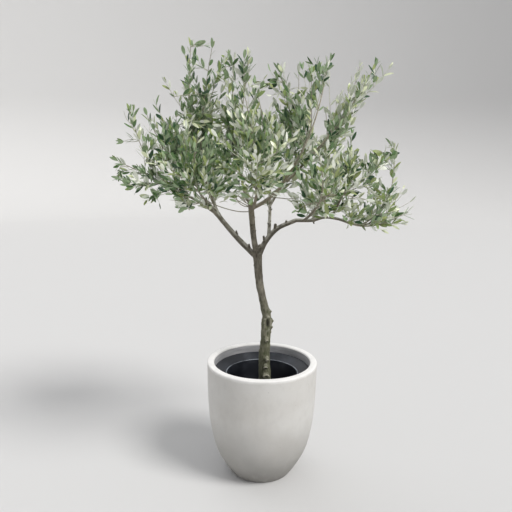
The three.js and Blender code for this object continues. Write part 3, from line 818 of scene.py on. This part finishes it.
# Each mass has its part of the crown, the limb that it grows on from and the share of it past which shoots
# start, the tips of its stem and wands, other limbs that carry shoots, thickets (place, radius and number of
# shoots) and whips (root and tip). All places are in mm.
masses = {
    "foliage_left_outer": {
        "part": "Left", "limb": "limb_left_outer", "shootsFrom": 0.4,
        "tips": [(-566, 0, 1251), (-491, -30, 1423), (-509, -40, 1150), (-452, 70, 1104)],
        "thickets": [
            ((-420, 0, 1110), 50, 5), ((-400, 10, 1220), 55, 7), ((-545, 0, 1205), 40, 4),
            ((-488, -20, 1385), 30, 3), ((-515, 0, 1300), 12, 2), ((-548, -10, 1175), 15, 3),
            ((-505, -10, 1165), 25, 3)],
    },
    "foliage_left_upper": {
        "part": "Left", "limb": "bough_left", "shootsFrom": 0.84,
        "tips": [(-335, -30, 1492), (-429, -80, 1421), (-435, 110, 1404)],
        "thickets": [((-220, 0, 1400), 70, 6)],
    },
    "foliage_top_left": {
        "part": "Left", "limb": "limb_top_left", "shootsFrom": 0.3,
        "tips": [(-277, 60, 1679), (-188, -10, 1663), (-157, 100, 1626)],
        "thickets": [((-230, 40, 1590), 60, 5)],
    },
    "foliage_left_front": {
        "part": "Left", "limb": "limb_left_front", "shootsFrom": 0.4,
        "tips": [(-215, -290, 1340), (-343, -260, 1250), (-292, -110, 1030), (-130, -240, 1110)],
        "thickets": [
            ((-318, -60, 1070), 42, 9), ((-150, -120, 1125), 60, 8), ((-345, -60, 1140), 50, 6),
            ((-215, -90, 1200), 50, 7), ((-350, -40, 1175), 30, 4)],
    },
    "foliage_left_back": {
        "part": "Left", "limb": "limb_left_back", "shootsFrom": 0.4,
        "tips": [(-306, 280, 1470), (-186, 360, 1400), (-436, 250, 1264), (-162, 300, 1125)],
    },
    "foliage_top_middle": {
        "part": "Middle", "limb": "limb_leader_up", "shootsFrom": 0.3,
        "tips": [(-116, 90, 1642), (-58, -90, 1619), (-165, -70, 1165)],
        "thickets": [
            ((-110, -70, 1165), 60, 7), ((-130, -20, 1280), 50, 6), ((-145, 0, 1385), 40, 5),
            ((-70, -60, 1560), 42, 5), ((-130, 30, 1590), 30, 3), ((-150, -60, 1190), 42, 8),
            ((-155, -20, 1345), 36, 7), ((-93, -40, 1199), 26, 4), ((-155, 20, 1530), 24, 3)],
    },
    "foliage_middle_front": {
        "part": "Middle", "limb": "limb_centre_front", "shootsFrom": 0.4,
        "tips": [
            (-75, -260, 1490), (40, -330, 1360), (-25, -420, 1271), (-120, -340, 1240), (-20, -230, 1120)],
        "thickets": [((-70, -180, 1110), 60, 8), ((0, -170, 1130), 60, 7), ((52, -120, 1205), 42, 7)],
    },
    "foliage_middle_back": {
        "part": "Middle", "limb": "bough_back", "shootsFrom": 0.6,
        "tips": [(-40, 290, 1573), (99, 350, 1476), (-47, 430, 1357), (93, 310, 1135)],
    },
    "foliage_top_right": {
        "part": "Middle", "limb": "limb_top_right", "shootsFrom": 0.3,
        "tips": [(54, 60, 1592), (131, 120, 1598), (168, 50, 1190)],
        "thickets": [((20, 40, 1500), 40, 5), ((36, 60, 1560), 25, 2), ((100, 60, 1480), 40, 4)],
    },
    "foliage_upper_right": {
        "part": "Middle", "limb": "limb_upper_right", "shootsFrom": 0.1,
        "tips": [(226, -20, 1612), (158, -90, 1564), (149, -230, 1437), (160, -50, 1330)],
        "thickets": [
            ((150, -70, 1255), 55, 6), ((165, -50, 1330), 40, 4), ((175, -40, 1555), 25, 2),
            ((214, -20, 1545), 22, 3)],
    },
    "foliage_right_high": {
        "part": "Right", "limb": "limb_leader_right", "shootsFrom": 0.42,
        "tips": [(419, 60, 1614), (362, 80, 1612), (280, 20, 1499), (392, -60, 1426)],
        "thickets": [((112, -85, 1130), 40, 5)],
    },
    "foliage_right_front": {
        "part": "Right", "limb": "limb_right_front", "shootsFrom": 0.2,
        "tips": [
            (168, -310, 1282), (283, -270, 1215), (367, -240, 1129), (80, -190, 1085), (258, -130, 1060)],
        "otherLimbs": [("bough_right", 0.84, 1)],
        "thickets": [
            ((185, -70, 1130), 55, 8), ((205, -60, 1060), 45, 6), ((150, -90, 1180), 55, 6),
            ((112, -60, 1090), 22, 4), ((120, -60, 1050), 18, 3), ((150, -60, 1163), 26, 4)],
    },
    "foliage_right_back": {
        "part": "Right", "limb": "limb_right_back", "shootsFrom": 0.3,
        "tips": [(253, 280, 1483), (379, 290, 1333), (418, 140, 1368), (350, 190, 1130), (180, 170, 1080)],
    },
    "foliage_right_outer": {
        "part": "Right", "limb": "bough_right_outer", "shootsFrom": 0.62,
        "tips": [(564, -30, 1076), (462, -60, 1150), (492, 30, 1318), (512, 20, 1042)],
        "thickets": [((428, -20, 1262), 24, 4), ((478, -20, 1105), 24, 3), ((415, -20, 1127), 24, 3)],
        "whips": [
            ((322, -8, 1001), (505, -40, 1006)), ((330, -8, 1002), (430, -50, 985)),
            ((372, -14, 1016), (540, -60, 1044)), ((392, -18, 1030), (534, -30, 1082)),
            ((380, -16, 1022), (496, -70, 1112)), ((350, -12, 1010), (455, -20, 1075))],
    },
    "foliage_right_middle": {
        "part": "Right", "limb": "limb_right_middle", "shootsFrom": 0.1,
        "tips": [(301, -120, 1292), (440, -100, 1270), (325, -90, 1100), (380, -50, 1175)],
        "otherLimbs": [("bough_right_outer", 0.1, 0.62)],
        "thickets": [
            ((310, -40, 1050), 50, 8), ((390, -40, 1100), 60, 8), ((400, -30, 1190), 60, 7),
            ((283, -20, 1080), 40, 6), ((335, -20, 1070), 36, 4), ((400, -30, 1235), 38, 6)],
    },
}

skyGaps = [  # open spots between the sprays, seen from the front: x, z and radius, mm
    (-217, 1613, 22), (-112, 1031, 36), (272, 1532, 38), (64, 1048, 34), (248, 1493, 26),
    (-503, 1249, 30), (-303, 1547, 22), (135, 1517, 28), (-89, 990, 31), (-225, 1550, 16),
    (213, 1458, 30), (193, 1398, 30), (-370, 1070, 30), (-142, 1064, 27), (-159, 1637, 24),
    (-341, 1432, 27), (463, 1163, 27), (-20, 1550, 26), (-10, 1028, 26), (-363, 1411, 25),
    (-273, 1033, 24), (100, 1495, 18), (-468, 1303, 23), (-511, 1209, 18), (530, 1093, 22),
    (-463, 1235, 18), (445, 1365, 42), (540, 1190, 45), (420, 1290, 26), (560, 1280, 60),
    (-345, 1600, 55), (-330, 1530, 22), (300, 1620, 40), (20, 1640, 60), (-560, 1400, 60),
    (372, 1370, 42), (352, 1310, 30), (400, 1320, 40), (205, 1350, 24), (246, 1435, 18), (-440, 1465, 30),
    (97, 1655, 30), (-68, 1450, 24), (5, 1440, 22), (455, 1180, 20), (-58, 1086, 15),
]

growth = {
    "seed": 20,
    "stemTaper": 0.92,
    "stemTip": 1.1 * mm,
    "wandRadius": 2.88 * mm,
    "wandTip": 0.9 * mm,
    "shootRadius": 1.4 * mm,
    "twigRadius": 1.0 * mm,
    "coreRadius": 1.0 * mm,
    "tipRadius": 0.6 * mm,
    "bareTwigRadius": 1.68 * mm,
    "bareTwigStep": 12 * mm,
    "wandStarts": [0.12, 0.24, 0.08, 0.18],
    "knee": 0.45,
    "sideStart": {"stem": 0.1, "wand": 0.06},
    "sideEnd": 0.66,  # share of a stem or wand past which it carries leaves alone
    "coreEnd": 0.6,
    "shootSpacing": 32 * mm,
    "shootReach": 270 * mm,
    "shootLeast": 70 * mm,
    "shootAngle": 52,
    "heart": ((-20, 20, 1240), (370, 340, 220)),  # centre and half sizes of the dense middle, mm
    "coreSpacing": 22 * mm,
    "coreReach": 170 * mm,
    "coreLeast": 60 * mm,
    "twigSpacing": 62 * mm,
    "twigReach": 130 * mm,
    "twigLeast": 45 * mm,
    "twigParent": 100 * mm,  # the shortest shoot that carries twigs
    "twigSpan": (0.15, 0.75),
    "angles": (0.8, 1.15),
    "reaches": (0.45, 1.0),
    "reachLoss": 0.55,  # towards the parent's tip
    "tipRise": 0.5,  # how much the last leaves turn up
    "wandLevel": 0.4,  # how much of a wand's climb shows in its first heading
    "wandTurn": 1.3,
    "rise": 0.4,  # how much a side shoot leaves its parent upwards
    "lift": 0.3,
    "thicketLeast": 40 * mm,  # a shorter shoot starts further down
    "thicketFrom": 55 * mm,
    "leafy": {  # share of the foot without leaves, and how light the tints are; the core's is lowest: older leaves, and painted shade deep in the crown
        "core": (0.1, -0.5), "shoot": (0.14, 0.6), "twig": (0.12, 0.3), "thicket": (0.2, 0.5),
        "whip": (0.16, 1.2)},
    "wandBare": 0.2,
    "edge": 4 * mm,  # how far a leaf stays inside the crown's box
}

leafing = {
    "length": 41 * mm,
    "spacing": {"core": 19 * mm, "whip": 40 * mm},
    "usualSpacing": 34 * mm,
    "angle": 50,
    "close": 14,  # degrees less at the tip
    "lift": 0.32,
    "frontFiner": 0.16,  # how much smaller the leaves of the front are, past these distances
    "front": (0.04, 0.25),
    "coreSize": 0.8,
    "spraySizes": (0.86, 1.08),
    "tilts": (0.75, 1.25),
    "lifts": (0.3, 1.3),
    "twist": 0.6,
    "lengths": (0.86, 1.14),
    "youngest": 0.74,  # size at the tip, and how fast it grows to full size further down
    "filling": 1.5,
    "tipLengths": (0.6, 0.95),
    "tipSpread": 0.28,
}

sprays = {  # how light the tints of a spray are
    "least": 0.34,
    # sprays further out get paler tints, the core darker: partly painted shade
    "outer": 0.3,
    "byPlace": [  # direction, how much lighter that way, and the distances between which it comes in
        ((0, -1, 0), 0.22, 0.05, 0.35), ((1, 0, 0), 0.12, -0.2, 0.3),
        ((0, 0, 1), -0.3, 1.42, 1.6), ((-1, 0, 0), -0.2, 0.2, 0.5)],
}

goldenAngle = math.radians(137.5)


def measured(points, **more):  # a line with its lengths from the root
    lengths = np.concatenate([[0], np.cumsum([(b - a).length for a, b in zip(points, points[1:])])])
    return {"points": points, "lengths": lengths, "length": float(lengths[-1]), **more}


def makeShoot(root, heading, tip, radius, tipRadius, count, kind):
    knee = root + heading * ((tip - root).length * growth["knee"])
    shares = [i / count for i in range(count + 1)]
    points = [root.lerp(knee, t).lerp(knee.lerp(tip, t), t) for t in shares]
    radii = [radius + (tipRadius - radius) * i / count for i in range(count + 1)]
    return measured(points, radii=radii, kind=kind)


def along(shoot, share):  # the place and heading at a share of a shoot's length
    target = share * shoot["length"]
    i = min(max(1, int(np.searchsorted(shoot["lengths"], target))), len(shoot["points"]) - 1)
    a, b = shoot["points"][i - 1], shoot["points"][i]
    part = (target - shoot["lengths"][i - 1]) / max(1e-9, shoot["lengths"][i] - shoot["lengths"][i - 1])
    return a.lerp(b, float(part)), (b - a).normalized()


def sideways(direction):
    level = Vector((1, 0, 0)) if abs(direction.z) > 0.9 else upward
    return level.cross(direction).normalized()


def turned(vector, axis, angle):
    return Matrix.Rotation(angle, 3, axis) @ vector


def skeletonOf(limb, tips):  # a mass's stem and its wands
    line = limbAxis(limb)
    heading = (line[-1] - line[-2]).normalized()
    root = line[-1] - heading * 2 * mm
    ends = [Vector(p) * mm for p in tips]

    def woodTip(end, start):  # the last leaves reach the end itself
        last = ((end - start).normalized() + upward * growth["tipRise"]).normalized()
        return end - last * leafing["length"]

    radius = limbs[limb][2] * growth["stemTaper"] * mm
    stem = makeShoot(root, heading, woodTip(ends[0], root), radius, growth["stemTip"], 14, "stem")
    shoots = [stem]
    for end, share in zip(ends[1:], growth["wandStarts"]):
        start, flow = along(stem, share)
        chord = end - start
        flat = Vector((chord.x, chord.y, chord.z * growth["wandLevel"])).normalized()
        heading = (flow + flat * growth["wandTurn"]).normalized()
        tip = woodTip(end, start)
        shoots.append(makeShoot(start, heading, tip, growth["wandRadius"], growth["wandTip"], 12, "wand"))
    return shoots


def sideShoots(parent, draw, start, end, kind):
    spacing, reachMost, radius = (growth[kind + name] for name in ("Spacing", "Reach", "Radius"))
    count = max(1, round(parent["length"] * (end - start) / spacing))
    turn = draw(0, math.tau)
    shoots = []
    for i in range(count):
        share = start + (end - start) * (i + 0.3) / count
        root, flow = along(parent, share)
        side = turned(sideways(flow), flow, turn + i * goldenAngle)
        angle = math.radians(growth["shootAngle"] * draw(*growth["angles"]))
        whole = reachMost * (1 - growth["reachLoss"] * share) * draw(*growth["reaches"])
        reach = max(growth[kind + "Least"], whole) - leafing["length"] * 0.6
        heading = (flow * math.cos(angle) + side * math.sin(angle) + upward * growth["rise"]).normalized()
        tip = root + heading * reach * 0.92
        tip.z += reach * growth["lift"]
        shoots.append(makeShoot(root, heading, tip, radius, growth["tipRadius"], 5, kind))
    return shoots


def thicketShoots(parents, centre, radius, count, draw):
    shoots = []
    for _ in range(count):
        turn, height = draw(0, math.tau), draw(-1, 1)
        level = math.sqrt(1 - height * height)
        away = Vector((math.cos(turn) * level, math.sin(turn) * level, height))
        tip = Vector(centre) * mm + away * radius * mm * draw() ** (1 / 3)

        def farness(p):  # a shoot prefers to rise
            return (p - tip).length + max(0, p.z - tip.z) * 0.7

        root = min(parents, key=farness)
        reach = tip - root
        if reach.length < growth["thicketLeast"]:
            root = min((p for p in parents if (p - tip).length > growth["thicketFrom"]), key=farness)
            reach = tip - root
        out = Vector((reach.x, reach.y, 0.25 * reach.z)).normalized()
        heading = (out + Vector((draw(-0.3, 0.3), draw(-0.3, 0.3), draw(-0.2, 0.5)))).normalized()
        shoots.append(makeShoot(root, heading, tip, growth["shootRadius"], growth["tipRadius"], 6, "shoot"))
    return shoots


def makeWhip(root, tip):
    root, tip = Vector(root) * mm, Vector(tip) * mm
    heading = ((tip - root) * Vector((1, 1, 0.2))).normalized()
    return makeShoot(root, heading, tip, growth["shootRadius"], growth["tipRadius"], 8, "whip")


def leavesAlong(shoot, draw, bareStart, tint):  # pairs of leaves, each pair a quarter turn on
    isCore = shoot["kind"] == "core"
    spacing = leafing["spacing"].get(shoot["kind"], leafing["usualSpacing"])
    count = max(1, round(shoot["length"] * (1 - bareStart) / spacing))
    phase = draw(0, math.pi)
    size = draw(*leafing["spraySizes"]) * (leafing["coreSize"] if isCore else 1.0)
    size *= 1 - leafing["frontFiner"] * smoothStep(-shoot["points"][-1].y, *leafing["front"])
    leaves = []
    for i in range(count):
        share = bareStart + (1 - bareStart) * (i + 0.2) / count
        root, flow = along(shoot, share)
        angle = math.radians(leafing["angle"] - leafing["close"] * share)
        side = turned(sideways(flow), flow, phase + i * math.pi / 2)
        for hand in (1, -1):
            tilt = angle * draw(*leafing["tilts"])
            direction = flow * math.cos(tilt) + side * (hand * math.sin(tilt))
            direction.z += leafing["lift"] * draw(*leafing["lifts"])
            direction.normalize()
            face = -flow.cross(direction).cross(direction)
            if face.length < 1e-4:
                face = sideways(direction)
            if face.z < 0:  # a leaf turns its dark side to the light
                face = -face
            face = turned(face.normalized(), direction, draw(-leafing["twist"], leafing["twist"]))
            grown = min(1.0, leafing["youngest"] + leafing["filling"] * (1 - share)) * size
            own = tint + int(draw(0, 4.99)) // 2 - 1  # some leaves are older or younger than their spray
            if share > 0.8 and not isCore:  # and the last ones are younger, a tint paler, partly as painted highlight
                own += 1
            length = leafing["length"] * grown * draw(*leafing["lengths"])
            leaves.append((root, direction, face, length, min(4, max(0, own))))
    # the two tip leaves a tint paler, partly as painted highlight
    root, flow = along(shoot, 0.995)
    for k in range(2):
        side = turned(sideways(flow), flow, phase + count * math.pi / 2 + k * math.pi)
        direction = (flow + side * leafing["tipSpread"]).normalized()
        length = leafing["length"] * draw(*leafing["tipLengths"])
        leaves.append((root, direction, -side, length, min(4, tint + 1)))
    return leaves


def sprayTint(spot, draw, outer):  # 0 the darkest to 4 the palest tint; sprays further in are darker, partly as painted shade
    lightness = sprays["least"] + sprays["outer"] * outer
    for way, gain, low, high in sprays["byPlace"]:
        lightness += gain * smoothStep(spot.dot(Vector(way)), low, high)
    roll = draw() - 0.5 + lightness
    return min(4, max(0, int(roll * 5)))


def growTree():
    skeletons = {name: skeletonOf(mass["limb"], mass["tips"]) for name, mass in masses.items()}
    points = [(p, name) for name, shoots in skeletons.items() for s in shoots for p in s["points"]]
    nearest = kdtree.KDTree(len(points))
    for i, (point, _) in enumerate(points):
        nearest.insert(point, i)
    nearest.balance()
    eye = Vector(view["place"])
    edge = Vector([growth["edge"]] * 3)
    low, high = Vector(cadBounds[0]) + edge, Vector(cadBounds[1]) - edge

    def inHeart(point):
        middle, half = growth["heart"]
        return sum(((c / mm - m) / h) ** 2 for c, m, h in zip(point, middle, half)) < 1

    def inBox(point):
        return all(a <= c <= b for a, c, b in zip(low, point, high))

    def isOpen(point):  # as seen from the front, past the whole crown
        share = -eye.y / (point.y - eye.y)
        seen = eye + (point - eye) * share
        return any(math.hypot(seen.x - x * mm, seen.z - z * mm) < radius * mm for x, z, radius in skyGaps)

    def fits(shoot, name):  # its tip is nearer to its own mass than to any other, and has room
        tip = shoot["points"][-1]
        return points[nearest.find(tip)[1]][1] == name and inBox(tip) and not isOpen(tip)

    grown = {}
    leafy = growth["leafy"]
    for i, (name, mass) in enumerate(masses.items()):
        draw = makeRandom(growth["seed"] + i)
        shoots = []
        parents = [(wand, growth["sideStart"][wand["kind"]], growth["sideEnd"]) for wand in skeletons[name]]
        for limb, start, end in [(mass["limb"], mass["shootsFrom"], 1), *mass.get("otherLimbs", [])]:
            parents.append((measured(limbAxis(limb), kind="limb"), start, end))
        for parent, start, end in parents:
            if parent["kind"] != "limb":
                if not isOpen(parent["points"][-1]):
                    shoots.append((parent, start + growth["wandBare"], 1.0))
                for shoot in sideShoots(parent, draw, start, growth["coreEnd"], "core"):
                    if fits(shoot, name) and inHeart(shoot["points"][-1]):
                        shoots.append((shoot, *leafy["core"]))
            for shoot in sideShoots(parent, draw, start, end, "shoot"):
                if fits(shoot, name):
                    shoots.append((shoot, *leafy["shoot"]))
                    if shoot["length"] > growth["twigParent"]:
                        twigs = sideShoots(shoot, draw, *growth["twigSpan"], "twig")
                        shoots += [(twig, *leafy["twig"]) for twig in twigs if fits(twig, name)]
        bases = [p for parent, _, _ in parents for p in parent["points"][2:]]
        for centre, radius, count in mass.get("thickets", []):
            for shoot in thicketShoots(bases, centre, radius, count, draw):
                if inBox(shoot["points"][-1]):
                    shoots.append((shoot, *leafy["thicket"]))
        shoots += [(makeWhip(*ends), *leafy["whip"]) for ends in mass.get("whips", [])]
        leaves = []
        for shoot, bareStart, outer in shoots:
            tint = sprayTint(shoot["points"][-1], draw, outer)
            for blade in leavesAlong(shoot, draw, bareStart, tint):
                tip = blade[0] + blade[1] * blade[3]
                if inBox(tip) and not isOpen(tip):
                    leaves.append(blade)
        grown[name] = ([s for s, _, _ in shoots], leaves)
    return grown


# leaves and twigs

leaf = {
    "rows": 6,
    "width": 0.345,  # share of the length
    "thickness": 0.022,
    "fullness": 0.62,
    "stalk": (0.02, 0.34),  # the blade narrows to a stalk below these shares
    "bends": [(-0.05, 0.10), (0.05, 0.16), (0.14, 0.12), (0.22, 0.2)],  # curl along, fold across
    "widths": (0.8, 1.12),
    "creaseAngle": 60,
    "seed": 91,
    # the palest upper tint also stands in for glints: partly painted highlight
    "upper": ["375739", "5a7a49", "84985b", "a5b276", "d2d9b6"],
    "under": ["9fb68d", "f1f5e8"],
    "dim": 0.8,  # the darker patches
    "rough": {"upper": (0.26, 0.42), "under": (0.45, 0.65)},
}


def leafShape(curl, fold):
    bm = bmesh.new()
    bmesh.ops.create_uvsphere(bm, u_segments=4, v_segments=leaf["rows"], radius=0.5)
    bmesh.ops.rotate(bm, verts=bm.verts, cent=(0, 0, 0), matrix=Matrix.Rotation(-math.pi / 2, 3, "X"))
    bmesh.ops.translate(bm, verts=bm.verts, vec=(0, 0.5, 0))
    bmesh.ops.triangulate(bm, faces=bm.faces)
    bmesh.ops.recalc_face_normals(bm, faces=bm.faces)
    isUpper = [face.calc_center_median().z > 0 for face in bm.faces]
    for vert in bm.verts:
        share = vert.co.y
        girth = 2 * math.sqrt(max(0.0, share * (1 - share))) or 1.0
        stalk = 0.2 + 0.8 * smoothStep(share, *leaf["stalk"])
        blade = (4 * share * (1 - share)) ** leaf["fullness"] * stalk
        across = vert.co.x / (0.5 * girth)
        through = vert.co.z / (0.5 * girth)
        vert.co.x = across * blade * leaf["width"] / 2
        vert.co.z = through * leaf["thickness"] / 2 + abs(vert.co.x) * fold - curl * (share - 0.2) ** 2
    verts = np.array([v.co for v in bm.verts])
    faces = np.array([[v.index for v in f.verts] for f in bm.faces])
    bm.free()
    return verts, faces, np.array(isUpper)


def leavesMesh(name, leaves):
    shapes = [leafShape(*bend) for bend in leaf["bends"]]
    draw = makeRandom(leaf["seed"])
    verts, faces, tints, offset = [], [], [], 0
    for root, direction, face, length, tint in leaves:
        shape, triangles, isUpper = shapes[int(draw(0, len(shapes) - 0.001))]
        width = length * draw(*leaf["widths"])
        basis = np.array([direction.cross(face) * width, direction * length, face * length])
        verts.append(shape @ basis + np.array(root))
        faces.append(triangles + offset)
        under = len(leaf["upper"]) + (1 if tint > 2 else 0)
        tints.append(np.where(isUpper, tint, under))
        offset += len(shape)
    mesh = bpy.data.meshes.new(name)
    mesh.from_pydata(np.concatenate(verts), [], np.concatenate(faces))
    mesh.polygons.foreach_set("material_index", np.concatenate(tints).astype(np.int32))
    mesh.shade_smooth()
    mesh.set_sharp_from_angle(angle=math.radians(leaf["creaseAngle"]))
    return mesh


def makeLeafMaterials():
    made = []
    for side in ("upper", "under"):
        for i, code in enumerate(leaf[side]):
            material, tree, shader = newMaterial("leaf" + side.capitalize() + str(i), code)
            dim = [c * leaf["dim"] for c in linear(code)[:3]] + [1]
            tone = patched(tree, code, dim, scale=38.0, low=0.42, high=0.66)
            dress(tree, shader, tone["Color"], tone["Mask"], leaf["rough"][side])
            made.append(material)
    return made


wood = {"old": "a19b8a", "oldPatch": "6f6a5a", "young": "c3c6b0", "rough": (0.6, 0.8)}


def makeTwigMaterial(name, base, patch):
    material, tree, shader = newMaterial(name, base)
    tone = patched(tree, base, patch, scale=90.0, low=0.45, high=0.7)
    dress(tree, shader, tone["Color"], tone["Mask"], wood["rough"])
    return material


bareTwigs = [  # thin shoots without leaves under the crown: the points each runs through, mm
    [(-46, -52, 1046), (-86, -62, 1046), (-140, -70, 1058), (-200, -72, 1082), (-222, -84, 1104)],
    [(-47, -56, 1062), (-76, -84, 1078), (-112, -108, 1104), (-130, -120, 1140)],
    [(-40, -96, 1074), (-66, -122, 1084), (-92, -146, 1112)],
    [(-8, -66, 1078), (14, -96, 1082), (26, -120, 1108)],
    [(-50, -56, 1064), (-72, -62, 1066), (-94, -70, 1082), (-104, -80, 1112)],
    [(-50, -58, 1068), (-64, -66, 1078), (-76, -72, 1096), (-80, -80, 1120)],
    [(-48, -60, 1078), (-80, -70, 1096), (-118, -78, 1112)],
    [(26, 78, 1088), (60, 60, 1088), (96, 44, 1086), (130, 30, 1092)],
    [(-222, 38, 1074), (-262, 0, 1066), (-300, -30, 1072), (-330, -50, 1090)],
]


def makeCrown():
    grown = growTree()
    materials = makeLeafMaterials()
    for part in ("Left", "Middle", "Right"):
        names = [name for name, mass in masses.items() if mass["part"] == part]
        leaves = [blade for name in names for blade in grown[name][1]]
        print("leaves" + part + ":", len(leaves), "leaves")
        addPiece("leaves" + part, leavesMesh("leaves" + part, leaves), materials, names)
    woody, fine = [], []
    for shoots, _ in grown.values():
        for shoot in shoots:
            kept = woody if shoot["kind"] in ("stem", "wand") else fine
            kept.append((shoot["points"], shoot["radii"]))
    for route in bareTwigs:
        line = routeThrough(route, growth["bareTwigStep"])
        woody.append((line, [growth["bareTwigRadius"]] * len(line)))
    twigWood = makeTwigMaterial("twigWood", wood["old"], wood["oldPatch"])
    green = makeTwigMaterial("greenShoots", wood["young"], wood["old"])
    for name, tubes, sides, material in (("wands", woody, 8, twigWood), ("shoots", fine, 4, green)):
        mesh = tubesMesh(name, tubes, sides)
        mesh.shade_smooth()
        mesh.materials.clear()
        addPiece(name, mesh, [material])


makeCrown()
